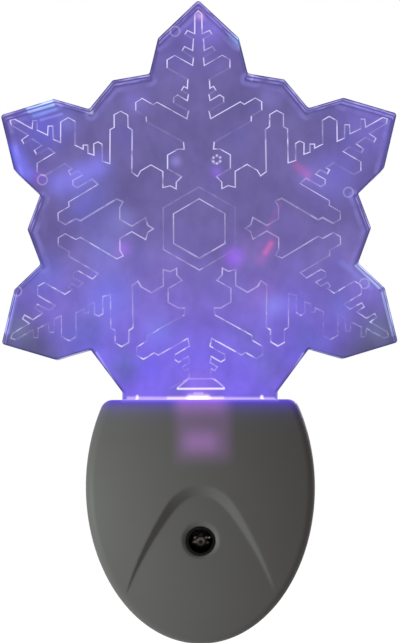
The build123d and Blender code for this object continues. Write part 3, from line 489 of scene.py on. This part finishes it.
def is_socket(value):
    return isinstance(value, bpy.types.NodeSocket)


def rgba(colour):
    return (*tuple(colour)[:3], 1.0)


def shade(colour, factor):
    return tuple(channel * factor for channel in tuple(colour)[:3])


def moulded(name, colour, roughness=0.48, gloss=0.5, glow=None, edge_r=0.0):
    """Injection moulded plastic with a fine spark-eroded texture and faint flow clouds."""
    finish = Finish(name)
    cloud = finish.noise(CLOUDS_PER_MM, 3.0)
    body = finish.blend(cloud, *(shade(colour, factor) for factor in CLOUD_SHADES))
    grain = finish.noise(GRAINS_PER_MM)
    rough = finish.ease(cloud, 0.3, 0.7, roughness - 0.04, roughness + 0.05)
    inputs = {
        "Base Color": body,
        "Roughness": rough,
        "Specular IOR Level": gloss,
        "Normal": finish.bump(grain, GRAIN_DEPTH, GRAIN_STRENGTH, finish.rounded(edge_r)),
    }
    if glow is not None:
        inputs["Emission Color"] = glow(finish)
        inputs["Emission Strength"] = 1.0
    return finish.done(finish.shader("BsdfPrincipled", inputs))


def metal(name, colour, roughness=0.3, stretch=(1, 1, 1)):
    """Rolled or turned metal: fine lines along one way and a slight uneven tarnish."""
    finish = Finish(name)
    lines = finish.noise(LINES_PER_MM, 3.0, stretch)
    patches = finish.noise(DULL_PATCHES_PER_MM, 3.0)
    fade = finish.ease(patches, 0.45, 0.75)
    body = finish.blend(fade, colour, shade(colour, 1 - TARNISH))
    rough = finish.ease(lines, 0.2, 0.8, roughness - 0.06, roughness + 0.08)
    inputs = {
        "Base Color": body,
        "Metallic": 1.0,
        "Roughness": rough,
        "Normal": finish.bump(lines, LINE_DEPTH, LINE_STRENGTH),
    }
    return finish.done(finish.shader("BsdfPrincipled", inputs))


def dress(material, *names):
    """Gives nodes of the frame a finish."""
    for name in names:
        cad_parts[name].material_slots[0].material = material


def keep(name, form, body, material):
    """Makes a bmesh a piece of the night light that moves with a body."""
    mesh = bpy.data.meshes.new(name)
    form.to_mesh(mesh)
    form.free()
    piece = bpy.data.objects.new(name, mesh)
    bpy.context.scene.collection.objects.link(piece)
    mesh.materials.append(material)
    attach(piece, body)


def node_form(name):
    """A copy of a node's mesh with its doubles merged."""
    form = bmesh.new()
    form.from_mesh(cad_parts[name].data)
    bmesh.ops.remove_doubles(form, verts=form.verts, dist=MERGE_M)
    return form


def cut(form, place, facing, **cleared):
    """Cuts a form by a plane, and clears it on the sides that are named."""
    bmesh.ops.bisect_plane(
        form,
        geom=form.verts[:] + form.edges[:] + form.faces[:],
        dist=CUT_M,
        plane_co=place,
        plane_no=facing,
        **cleared,
    )


# ---- settings ------------------------------------------------------------------------
def colour_property(name, description, default):
    return FloatVectorProperty(
        name=name, description=description, default=default, subtype="COLOR", size=3, min=0, max=1
    )


class NightLightSettings(PropertyGroup):
    shell_colour: colour_property("Shell", "Moulded housing", (0.126, 0.118, 0.114))
    line_colour: colour_property("Lit edges", "Edges of the raised figure", (0.72, 0.66, 1.00))
    led_colour: colour_property("LED", "Light that shows through the shell", (0.165, 0.058, 0.245))
    fringe_colour: colour_property("Fringe", "Light on the housing's top edge", (0.09, 0.04, 0.70))
    core_gap: FloatProperty(
        name="Core gap",
        description="Distance of the lit core from the panel's skin",
        default=0.05 * MM,
        min=0.0,
        unit="LENGTH",
    )
    core_wall: FloatProperty(
        name="Core wall",
        description="Thickness of the lit core's wall",
        default=0.08 * MM,
        min=0.0,
        unit="LENGTH",
    )
    camera_distance: FloatProperty(
        name="Camera distance",
        description="From the camera to the middle of the panel",
        default=0.330,
        min=0.1,
        unit="LENGTH",
    )


# ---- pieces --------------------------------------------------------------------------
class NIGHTLIGHT_OT_housing(Operator):
    """Finish the two halves of the housing, with the LED's light showing through"""

    bl_idname = "night_light.housing"
    bl_label = "Housing"

    def execute(self, context):
        settings = context.scene.night_light

        def glow(finish):
            return self.glow(finish, settings)

        like = {"roughness": 0.52, "gloss": SHELL_GLOSS}
        # The front shell carries the painted light; the rear shell is plain.
        lit = moulded("lit_shell", settings.shell_colour, glow=glow, edge_r=SHELL_EDGE_R, **like)
        plain = moulded("plain_shell", settings.shell_colour, **like)
        dress(lit, "front_housing")
        dress(plain, "rear_housing")
        return {"FINISHED"}

    def glow(self, finish, settings):
        """Painted light: the LED's box seen glowing through the front, and the light that spills
        from the slot.
        """
        x, y, z = finish.parts(finish.place())
        across = finish.calc("ABSOLUTE", finish.calc("SUBTRACT", x, LED_PATCH_X))
        box = finish.calc(
            "MULTIPLY", finish.ease(across, *LED_PATCH_SIDE), finish.ease(z, *LED_PATCH_FOOT)
        )
        box = finish.calc("MULTIPLY", box, finish.ease(y, *LED_PATCH_DEPTH))
        strength = finish.calc("MULTIPLY_ADD", finish.stroke(*LED_SPOT), *LED_PATCH_LIGHT)
        patch = finish.scaled(settings.led_colour, finish.calc("MULTIPLY", strength, box))
        depth = finish.calc("SUBTRACT", z, TOP_Z)
        fringe = finish.calc("EXPONENT", finish.calc("DIVIDE", depth, FRINGE_FALL))
        top = finish.scaled(settings.fringe_colour, fringe)
        slot = finish.total(
            finish.scaled(SLOT_LINE_COLOUR, finish.stroke(*SLOT_LINE)),
            finish.scaled(SLOT_MIDDLE_COLOUR, finish.stroke(*SLOT_MIDDLE)),
        )
        return finish.total(patch, top, slot)


class NIGHTLIGHT_OT_panel(Operator):
    """Make the snowflake panel clear, with its edges and its depth lit from below"""

    bl_idname = "night_light.panel"
    bl_label = "Snowflake panel"

    def execute(self, context):
        settings = context.scene.night_light
        dress(self.clear_acrylic(settings), "snowflake_panel")
        keep("snowflake_light", self.core(settings), "housing", self.core_light())
        strips = self.figure_strips()
        lines = self.strip_light(settings)
        keep("figure_from_behind", strips, "housing", lines)
        return {"FINISHED"}

    def from_led(self, finish):
        """How far a face looks away from the LED, along the panel: 1 straight away from it."""
        run = finish.vector("SUBTRACT", finish.place(), (0.0, PLATE_MID_Y, LIGHT_SOURCE_Z))
        away = finish.vector("NORMALIZE", finish.vector("MULTIPLY", run, (1, 0, 1)))
        side = finish.vector("NORMALIZE", finish.vector("MULTIPLY", finish.normal(), (1, 0, 1)))
        return finish.vector("DOT_PRODUCT", away, side)

    def outline_distances(self, finish):
        """Distance from the outer sides of the arms, and from the whole outline."""
        x, _, z = finish.parts(finish.vector("SUBTRACT", finish.place(), (0, 0, PANEL_CENTRE_Z)))
        turn = finish.calc("ABSOLUTE", finish.calc("ARCTAN2", x, z))
        out = finish.vector("LENGTH", finish.add("CombineXYZ", {0: x, 2: z}).outputs[0])
        fold = finish.calc("PINGPONG", turn, math.radians(LOBE[1]))
        half_arm = finish.add(
            "CombineXYZ",
            {
                0: finish.calc("MULTIPLY", out, finish.calc("SINE", fold)),
                2: finish.calc("MULTIPLY", out, finish.calc("COSINE", fold)),
            },
        ).outputs[0]
        tip, shoulder, notch, lobe = (
            (far * math.sin(math.radians(angle)), far * math.cos(math.radians(angle)))
            for far, angle in (TIP, SHOULDER, NOTCH, LOBE)
        )
        outer = finish.calc(
            "MINIMUM",
            finish.line_distance(half_arm, tip, shoulder),
            finish.line_distance(half_arm, notch, lobe),
        )
        below = finish.calc("GREATER_THAN", turn, math.radians(180 - 2 * LOBE[1] + NOTCH[1]))
        outer = finish.calc("MULTIPLY_ADD", below, TIP[0], outer)
        inner = finish.line_distance(half_arm, shoulder, notch)
        inner = finish.calc("MULTIPLY_ADD", below, TIP[0], inner)
        foot = finish.add("CombineXYZ", {0: finish.calc("ABSOLUTE", x), 2: z}).outputs[0]
        waist = math.radians(2 * LOBE[1] - NOTCH[1] - 90)
        stem_end = (NOTCH[0] * math.cos(waist), NOTCH[0] * math.sin(waist))
        stem_start = (STEM_CORNER[0], STEM_CORNER[1] - PANEL_CENTRE_Z)
        stem = finish.line_distance(foot, stem_start, stem_end)
        whole = finish.calc("MINIMUM", outer, finish.calc("MINIMUM", inner, stem))
        return outer, whole

    def clear_acrylic(self, settings):
        """A clear skin with the lit edges of the raised figure and the outline on it."""
        finish = Finish("edge_lit_acrylic")
        x, _, z = finish.parts(finish.place())
        _, facing, rise = finish.parts(finish.normal())
        flatness = finish.calc("ABSOLUTE", facing)
        edge = finish.ease(flatness, *FIGURE_SLOPE)
        rim = finish.ease(flatness, *RIM_SLOPE)
        turned = self.from_led(finish)
        flat = finish.flat()
        out = finish.vector("DISTANCE", flat, (0, 0, PANEL_CENTRE_Z))
        lit = self.figure_light(finish, turned, x, z, out)
        lit = self.broken_lines(finish, lit, x, z, rise, flat, out)
        lit = self.faint_marks(finish, lit, x, flat, out)
        fresnel = finish.ease(finish.fresnel(1.49), *SKIN_GLOSS_FADE)
        gloss = finish.shader("BsdfGlossy", {"Color": (0.6, 0.6, 0.8, 1), "Roughness": 0.04})
        clear = finish.shader("BsdfTransparent", {"Color": (0.97, 0.97, 1, 1)})
        skin = finish.mix(fresnel, clear, gloss)
        line = finish.shader("Emission", {"Color": rgba(settings.line_colour), "Strength": 1.0})
        outward = finish.ease(turned, *OUTWARD_FADE, 0.0, RIM_LIGHT)
        rim_light = finish.calc("MULTIPLY", rim, outward)
        line_light = finish.calc("MULTIPLY", finish.calc("SUBTRACT", edge, rim, clamp=True), lit)
        sparkle = self.mould_marks(finish, rim_light, flat)
        opacity = finish.calc("ADD", line_light, sparkle, clamp=True)
        _, whole = self.outline_distances(finish)
        # Painted shade: a dark line along the outline, broken into uneven patches.
        shade_patches = finish.ease(finish.noise(0.22), 0.40, 0.60, 0.15, 0.75)
        shaded = finish.calc("MULTIPLY", finish.ease(whole, *OUTLINE_FADE), shade_patches)
        shaded = finish.calc("MULTIPLY", shaded, finish.ease(flatness, *reversed(FIGURE_SLOPE)))
        dark = finish.shader("Emission", {"Color": rgba(OUTLINE_SHADE), "Strength": 1.0})
        skin = finish.mix(shaded, skin, dark)
        return finish.done(finish.mix(opacity, skin, line))

    def figure_light(self, finish, turned, x, z, out):
        """Light on the figure's sides: most on those turned away from the LED."""
        lit = finish.calc("MULTIPLY", finish.ease(turned, *LINE_TURN), finish.ease(z, *LINE_HEIGHT))
        underside = finish.calc(
            "MULTIPLY", finish.ease(z, *UNDERSIDE_HEIGHT), finish.ease(out, *UNDERSIDE_REACH)
        )
        hexagon = finish.ease(out, *HEXAGON_REACH)
        side = finish.ease(finish.calc("ABSOLUTE", x), *FOOT_SIDE)
        near_foot = finish.calc("MULTIPLY", finish.ease(z, *FOOT_HEIGHT), side)
        for least in (underside, hexagon, near_foot):
            lit = finish.calc("MAXIMUM", lit, least)
        return lit

    def broken_lines(self, finish, lit, x, z, rise, flat, out):
        """Makes the lines uneven, with gaps and dim upright stretches in the lower arms."""
        patchy = finish.ease(finish.noise(0.16), 0.38, 0.56, 0.60, 1.08)
        broken = finish.ease(finish.noise(0.45, 1.0), 0.36, 0.50, 0.42, 1.0)
        lit = finish.calc("MULTIPLY", finish.calc("MULTIPLY", lit, patchy), broken)
        low_arm = finish.calc(
            "MULTIPLY", finish.ease(z, *LOW_ARM_HEIGHT), finish.ease(out, *LOW_ARM_REACH)
        )
        gaps = finish.ease(finish.noise(0.55, 1.0), 0.44, 0.54, 0.70, -0.25)
        lit = finish.less(lit, finish.calc("MULTIPLY", low_arm, gaps))
        across = finish.calc("ABSOLUTE", x)
        upright = finish.ease(finish.calc("ABSOLUTE", rise), *UPRIGHT_RISE)
        middle, beside = (
            finish.calc("MULTIPLY", finish.ease(across, *sides), finish.ease(z, *heights))
            for sides, heights in ((MIDDLE_SIDE, MIDDLE_HEIGHT), (BESIDE_SIDE, BESIDE_HEIGHT))
        )
        upright = finish.calc("MULTIPLY", upright, finish.calc("MAXIMUM", middle, beside))
        upright = finish.calc("MULTIPLY", upright, finish.ease(z, *UPRIGHT_FOOT))
        lit = finish.less(lit, upright)
        for start, end in FAINT_STRETCHES:
            off = finish.line_distance(flat, start, end)
            lit = finish.calc("MULTIPLY", lit, finish.ease(off, *FAINT_FADE))
        return lit

    def faint_marks(self, finish, lit, x, flat, out):
        """Dims the ring round the middle hexagon, and the round edge of the gate mark."""
        ring = finish.band(out, *RING_REACH_BAND)
        faint = finish.ease(finish.line_distance(flat, *RING_STRETCH), *RING_LOSS)
        faint = finish.calc("MAXIMUM", faint, finish.ease(x, *RING_RIGHT_LOSS))
        ring = finish.calc("MULTIPLY", ring, faint)
        gate = finish.vector("DISTANCE", flat, (GATE_MARK[0], 0, GATE_MARK[1]))
        gate = finish.ease(gate, *GATE_EDGE_LOSS)
        return finish.less(lit, finish.calc("MAXIMUM", ring, gate))

    def mould_marks(self, finish, sparkle, flat):
        """Adds the rings of the ejector pins and the dots of the gate to a light."""
        for right, up in PIN_MARKS:
            away = finish.vector("DISTANCE", flat, (right, 0, PANEL_CENTRE_Z + up))
            off = finish.calc("ABSOLUTE", finish.calc("SUBTRACT", away, PIN_MARK_R))
            sparkle = finish.calc("MAXIMUM", sparkle, finish.ease(off, *PIN_MARK_FADE))
        for index in range(GATE_DOTS):
            turn = 2 * math.pi * (index + 0.5) / GATE_DOTS
            dot = (
                GATE_MARK[0] + GATE_DOT_RING * math.cos(turn),
                GATE_MARK[1] + GATE_DOT_RING * math.sin(turn),
            )
            sparkle = finish.calc("MAXIMUM", sparkle, finish.spot(dot, GATE_DOT_R))
        return sparkle

    def core(self, settings):
        """An open tray just inside the panel's skin: its back, and walls along its edge."""
        gap = settings.core_gap
        form = node_form("snowflake_panel")
        cut(form, (0, PLATE_MID_Y * MM, 0), (0, 1, 0), clear_outer=True, clear_inner=True)
        cut(form, (0, 0, TOP_Z * MM + gap), (0, 0, 1), clear_inner=True)
        ends = [vertex for vertex in form.verts if len(vertex.link_edges) == 1]
        if len(ends) != 2:
            raise RuntimeError(f"the panel's outline has {len(ends)} open ends")
        form.edges.new(ends)
        bmesh.ops.contextual_create(form, geom=form.edges[:])
        if len(form.faces) != 1:
            raise RuntimeError("the panel's outline did not close")
        bmesh.ops.inset_region(form, faces=form.faces[:], thickness=gap, use_even_offset=True)
        rim = [face for face in form.faces if len(face.verts) == 4]
        bmesh.ops.delete(form, geom=rim, context="FACES")
        lift = (PLATE_BACK_Y - PLATE_MID_Y) * MM - gap
        bmesh.ops.translate(form, verts=form.verts, vec=(0, lift, 0))
        sides = bmesh.ops.extrude_edge_only(form, edges=form.edges[:])["geom"]
        front = [item for item in sides if isinstance(item, bmesh.types.BMVert)]
        bmesh.ops.translate(form, verts=front, vec=(0, -PLATE_T * MM + 2 * gap, 0))
        bmesh.ops.recalc_face_normals(form, faces=form.faces)
        bmesh.ops.solidify(form, geom=form.faces[:], thickness=settings.core_wall)
        bmesh.ops.recalc_face_normals(form, faces=form.faces)
        return form

    def figure_strips(self):
        """The raised figure's sides as thin strips, to show through the panel's back."""
        form = node_form("snowflake_panel")
        form.normal_update()
        least, most = STRIP_SLOPE
        others = [
            face for face in form.faces
            if not (least < abs(face.normal.y) < most)
            or face.calc_center_median().y > PLATE_FRONT_Y * MM
        ]
        bmesh.ops.delete(form, geom=others, context="FACES")
        bmesh.ops.scale(form, verts=form.verts, vec=(1, 0, 1))
        bmesh.ops.recalc_face_normals(form, faces=form.faces)
        bmesh.ops.translate(form, verts=form.verts, vec=(0, (PLATE_BACK_Y - STRIP_LIFT) * MM, 0))
        bmesh.ops.solidify(form, geom=form.faces[:], thickness=STRIP_T * MM)
        bmesh.ops.recalc_face_normals(form, faces=form.faces)
        return form

    def strip_light(self, settings):
        finish = Finish("figure_strips")
        patchy = finish.ease(finish.noise(0.20), 0.36, 0.60, 0.25, 0.85)
        clear = finish.shader("BsdfTransparent")
        line = finish.shader("Emission", {"Color": rgba(settings.line_colour)})
        return finish.done(finish.mix(patchy, clear, line))

    def core_light(self):
        """Light in the panel's depth, on its side walls and along its edges."""
        finish = Finish("panel_light")
        _, y, z = finish.parts(finish.place())
        _, facing, _ = finish.parts(finish.normal())
        uneven = finish.ease(finish.noise(0.30), 0.36, 0.62, 0.20, 1.0)
        body = self.depth_light(finish, z, uneven)
        wall = finish.ease(finish.calc("ABSOLUTE", facing), *CORE_WALL_SLOPE)
        share = finish.calc("DIVIDE", finish.calc("SUBTRACT", y, PLATE_FRONT_Y), PLATE_T)
        bright_band = finish.ramp(share, WALL_RAMP)
        outward = finish.calc("ABSOLUTE", self.from_led(finish))
        outward = finish.calc("MULTIPLY", finish.ease(outward, *OUTWARD_FADE), uneven)
        side = finish.blend(outward, body, bright_band)
        body = finish.blend(wall, body, side)
        # Each light is added as it is made: the renderer can't hold all of them at once.
        for *where, colour in SOFT_LIGHTS:
            body = finish.vector("ADD", body, finish.scaled(colour, finish.spot(*where)))
        glints = (0.0, 0.0, 0.0)
        for *where, colour in GLINTS:
            glints = finish.vector("ADD", glints, finish.scaled(colour, finish.stroke(*where)))
        bands = finish.blend(wall, (1, 1, 1), finish.ramp(share, GLINT_RAMP))
        body = finish.vector("ADD", body, finish.vector("MULTIPLY", glints, bands))
        inputs = {
            "Base Color": (0.02, 0.02, 0.03, 1),
            "Roughness": 0.5,
            "Specular IOR Level": 0.0,
            "Emission Color": body,
            "Emission Strength": 1.0,
        }
        return finish.done(finish.shader("BsdfPrincipled", inputs))

    def depth_light(self, finish, z, uneven):
        """Light in the panel's depth: clouds, paler tips, and painted shade in a darker band inside
        the outline.
        """
        body = finish.ramp(z, PANEL_RAMP)
        out = finish.vector("DISTANCE", finish.flat(), (0, 0, PANEL_CENTRE_Z))
        tips = finish.calc("MULTIPLY", finish.ease(out, *TIP_REACH), finish.ease(z, *TIP_HEIGHT))
        body = finish.blend(tips, body, TIP_LIGHT)
        low = finish.band(z, *LOW_TIP_HEIGHT_BAND)
        low_tips = finish.calc("MULTIPLY", finish.ease(out, *LOW_TIP_REACH), low)
        body = finish.blend(low_tips, body, LOW_TIP_LIGHT)
        cloud = finish.ease(finish.noise(0.07, 3.0), 0.3, 0.7, 0.86, 1.12)
        body = finish.scaled(body, cloud)
        mottle = finish.ease(finish.noise(0.35, 3.0, (1.0, 1.0, 0.7)), 0.3, 0.7, 0.94, 1.05)
        body = finish.scaled(body, mottle)
        veil = finish.ease(finish.noise(0.11, 2.0, (1.0, 1.0, 0.6)), 0.54, 0.74, 0, 0.4)
        body = finish.blend(veil, body, VEIL_LIGHT)
        outer, whole = self.outline_distances(finish)
        # Painted shade in a band just inside the outline.
        body = finish.blend(finish.ease(whole, *EDGE_BAND_SHADE_FADE), body, EDGE_BAND_SHADE)
        inner = finish.band(outer, *INNER_BAND)
        inner = finish.calc("MULTIPLY", inner, finish.ease(z, *INNER_HEIGHT))
        return finish.blend(finish.calc("MULTIPLY", inner, uneven), body, INNER_LIGHT)


class NIGHTLIGHT_OT_stage(Operator):
    """Set the floor, the white surround, the lamps and the camera"""

    bl_idname = "night_light.stage"
    bl_label = "Stage"

    def execute(self, context):
        scene = context.scene
        scene.view_settings.view_transform = "Standard"
        self.world(scene)
        self.floor(scene)
        for name, made in LAMPS.items():
            self.lamp(scene, name, *made)
        self.camera(scene, scene.night_light.camera_distance)
        return {"FINISHED"}

    def world(self, scene):
        finish = Finish("white_surround", bpy.data.worlds)
        seen = finish.seen_directly()
        strength = finish.add("MapRange", {"Value": seen, "To Min": SURROUND_LIGHT, "To Max": 1.0})
        inputs = {
            "Color": finish.blend(seen, SURROUND_TINT, (1, 1, 1)),
            "Strength": strength.outputs["Result"],
        }
        scene.world = finish.done(finish.shader("Background", inputs), "OutputWorld")

    def floor(self, scene):
        form = bmesh.new()
        bmesh.ops.create_grid(form, x_segments=2, y_segments=2, size=FLOOR_HALF * MM)
        bmesh.ops.translate(form, verts=form.verts, vec=(0, 0, FLOOR_Z * MM))
        mesh = bpy.data.meshes.new("floor")
        form.to_mesh(mesh)
        form.free()
        finish = Finish("pale_floor")
        seen = finish.seen_directly()
        paint = finish.shader("BsdfDiffuse", {"Color": rgba(FLOOR_PAINT)})
        lift = finish.shader("Emission", {"Color": (1, 1, 1, 1), "Strength": FLOOR_LIFT})
        bright = finish.shader("AddShader", {0: paint, 1: lift})
        mesh.materials.append(finish.done(finish.mix(seen, paint, bright)))
        floor = bpy.data.objects.new("floor", mesh)
        scene.collection.objects.link(floor)

    def lamp(self, scene, name, place, size, power, colour):
        light = bpy.data.lights.new(name, "AREA")
        light.shape = "DISK"
        light.size = size
        light.energy = power
        light.color = colour
        lamp = bpy.data.objects.new(name, light)
        scene.collection.objects.link(lamp)
        lamp.location = place
        aim = Vector(LAMP_AIM) - Vector(place)
        lamp.rotation_euler = aim.to_track_quat("-Z", "Y").to_euler()

    def camera(self, scene, distance):
        view = bpy.data.cameras.new("camera")
        view.sensor_width = SENSOR_WIDTH
        view.lens = view.sensor_width * distance / (VIEW_HEIGHT * MM)
        view.shift_y = VIEW_LIFT
        camera = bpy.data.objects.new("camera", view)
        scene.collection.objects.link(camera)
        camera.location = (0, PLATE_MID_Y * MM - distance, TOP_Z * MM)
        camera.rotation_euler = (math.pi / 2, math.radians(VIEW_ROLL), 0)
        scene.camera = camera


class NIGHTLIGHT_OT_lamp(Operator):
    """Finish the LED, its leads and the box round it"""

    bl_idname = "night_light.lamp"
    bl_label = "LED and shroud"

    def execute(self, context):
        dress(moulded("white_reflector", (0.80, 0.80, 0.79), 0.55), "light_shroud")
        finish = Finish("led_epoxy")
        centre = ((led_low + led_high) / 2).to_tuple()
        away = finish.vector("DISTANCE", finish.place(), centre)
        hot = finish.ease(away, *LED_GLOW_FADE)
        inputs = {
            "Base Color": (0.6, 0.55, 0.85, 1),
            "Roughness": 0.06,
            "Emission Color": finish.blend(hot, LED_RIM_LIGHT, LED_HOT_LIGHT),
            "Emission Strength": 1.0,
        }
        dress(finish.done(finish.shader("BsdfPrincipled", inputs)), "led_body")
        dress(metal("tinned_wire", (0.62, 0.62, 0.60), 0.32), "led_leads", "sensor_leads")
        return {"FINISHED"}


class NIGHTLIGHT_OT_photocell(Operator):
    """Finish the photocell and its sleeve, and set the lead frame into it"""

    bl_idname = "night_light.photocell"
    bl_label = "Photocell"

    def execute(self, context):
        finish = Finish("sensor_epoxy")
        gloss = finish.shader("BsdfGlossy", {"Color": (0.10, 0.10, 0.13, 1), "Roughness": 0.12})
        tinted = finish.shader("BsdfTransparent", {"Color": (0.82, 0.80, 0.80, 1)})
        dress(finish.done(finish.mix(finish.fresnel(1.5), tinted, gloss)), "photo_sensor")
        dress(moulded("black_sleeve", (0.004, 0.004, 0.005), 0.7, gloss=0.1), "sensor_sleeve")
        lead = moulded("lead_frame", (0.40, 0.37, 0.35), 0.6, gloss=0.2, glow=self.frame_glow)
        keep("photocell_frame", self.lead_frame(), "housing", lead)
        return {"FINISHED"}

    def frame_glow(self, finish):
        """Painted light on the frame's upper half, for the light that the dome gathers."""
        _, _, z = finish.parts(finish.place())
        middle = (cell_low.z + cell_high.z) / 2
        start, end = (middle + height for height in FRAME_GLOW_HEIGHT)
        return finish.scaled(FRAME_GLOW, finish.ease(z, start, end, FRAME_GLOW_LEAST, 1.0))

    def lead_frame(self):
        """A ring with a pointed wing, and two bond pads, inside the epoxy."""
        form = bmesh.new()
        middle = (cell_low + cell_high) / 2
        into_wall = Matrix.Rotation(math.pi / 2, 4, "X")
        set_in = Vector((middle.x, cell_low.y + FRAME_DEPTH, middle.z - FRAME_DROP))
        place = Matrix.Translation(set_in * MM)
        hole, outside = (
            bmesh.ops.create_circle(
                form, segments=FRAME_STEPS, radius=radius * MM, matrix=place @ into_wall
            )["verts"]
            for radius in (FRAME_HOLE_R, FRAME_R)
        )
        for index in range(FRAME_STEPS):
            after = (index + 1) % FRAME_STEPS
            form.faces.new((hole[index], outside[index], outside[after], hole[after]))
        corners = (Vector((x, WING_OFFSET, z)) * MM for x, z in WING)
        form.faces.new([form.verts.new(place @ corner) for corner in corners])
        bmesh.ops.solidify(form, geom=form.faces[:], thickness=FRAME_T * MM)
        for x, z, radius in BOND_PADS:
            pad = place @ Matrix.Translation(Vector((x, 0, z)) * MM)
            bmesh.ops.create_icosphere(form, subdivisions=2, radius=radius * MM, matrix=pad)
        bmesh.ops.recalc_face_normals(form, faces=form.faces)
        return form


class NIGHTLIGHT_OT_plug(Operator):
    """Finish the plug base, its blades, contact rings, springs and retainer"""

    bl_idname = "night_light.plug"
    bl_label = "Swivel plug"

    def execute(self, context):
        dress(moulded("white_plug", (0.135, 0.133, 0.128), 0.45), "plug_disc")
        blades = metal("plated_blade", (0.66, 0.65, 0.61), 0.24, (6, 0.3, 6))
        dress(blades, "plug_blade_left", "plug_blade_right")
        brass = metal("contact_brass", (0.62, 0.43, 0.16), 0.3)
        dress(brass, "inner_contact_ring", "outer_contact_ring", "contact_rivets")
        bronze = metal("bronze_spring", (0.55, 0.33, 0.14), 0.32)
        dress(bronze, "line_contact_spring", "neutral_contact_spring")
        dress(moulded("retainer_acetal", (0.78, 0.78, 0.77), 0.5), "swivel_retainer")
        dress(metal("spring_steel", (0.42, 0.42, 0.42), 0.34), "friction_washer")
        return {"FINISHED"}


class NIGHTLIGHT_OT_screws(Operator):
    """Finish the zinc plated screws"""

    bl_idname = "night_light.screws"
    bl_label = "Screws"

    def execute(self, context):
        zinc = metal("zinc_screw", (0.52, 0.54, 0.56), 0.3)
        dress(zinc, "housing_screws", "board_screws", "retainer_screws")
        return {"FINISHED"}


class NIGHTLIGHT_OT_board(Operator):
    """Finish the circuit board and the parts that stand on it"""

    bl_idname = "night_light.board"
    bl_label = "Circuit board"

    def execute(self, context):
        dress(moulded("board_laminate", (0.34, 0.22, 0.07), 0.5), "circuit_board")
        dress(moulded("capacitor_case", (0.45, 0.26, 0.02), 0.25), "dropper_capacitor")
        dress(moulded("capacitor_can", (0.012, 0.016, 0.045), 0.25), "smoothing_capacitor")
        dress(moulded("black_epoxy", (0.012, 0.012, 0.012), 0.5), "bridge_rectifier", "transistor")
        dress(moulded("resistor_lacquer", (0.33, 0.20, 0.10), 0.3), "fusible_resistor", "resistors")
        dress(moulded("diode_glass", (0.45, 0.12, 0.03), 0.12), "zener_diode")
        dress(metal("component_wire", (0.62, 0.62, 0.60), 0.32), "component_leads")
        return {"FINISHED"}


class NIGHTLIGHT_PT_sidebar(Panel):
    bl_idname = "NIGHTLIGHT_PT_sidebar"
    bl_label = "Night Light"
    bl_space_type = "VIEW_3D"
    bl_region_type = "UI"
    bl_category = "Night Light"

    def draw(self, context):
        layout = self.layout
        settings = context.scene.night_light
        for name in NightLightSettings.__annotations__:
            layout.prop(settings, name)
        for operator in STEPS:
            layout.operator(operator.bl_idname)


STEPS = (
    NIGHTLIGHT_OT_housing,
    NIGHTLIGHT_OT_panel,
    NIGHTLIGHT_OT_lamp,
    NIGHTLIGHT_OT_photocell,
    NIGHTLIGHT_OT_plug,
    NIGHTLIGHT_OT_screws,
    NIGHTLIGHT_OT_board,
    NIGHTLIGHT_OT_stage,
)
CLASSES = (NightLightSettings, *STEPS, NIGHTLIGHT_PT_sidebar)


def register():
    for item in CLASSES:
        bpy.utils.register_class(item)
    bpy.types.Scene.night_light = PointerProperty(type=NightLightSettings)


def unregister():
    del bpy.types.Scene.night_light
    for item in reversed(CLASSES):
        bpy.utils.unregister_class(item)


def main():
    register()
    bpy.ops.night_light.housing()
    bpy.ops.night_light.panel()
    bpy.ops.night_light.lamp()
    bpy.ops.night_light.photocell()
    bpy.ops.night_light.plug()
    bpy.ops.night_light.screws()
    bpy.ops.night_light.board()
    bpy.ops.night_light.stage()


if __name__ == "__main__":
    main()
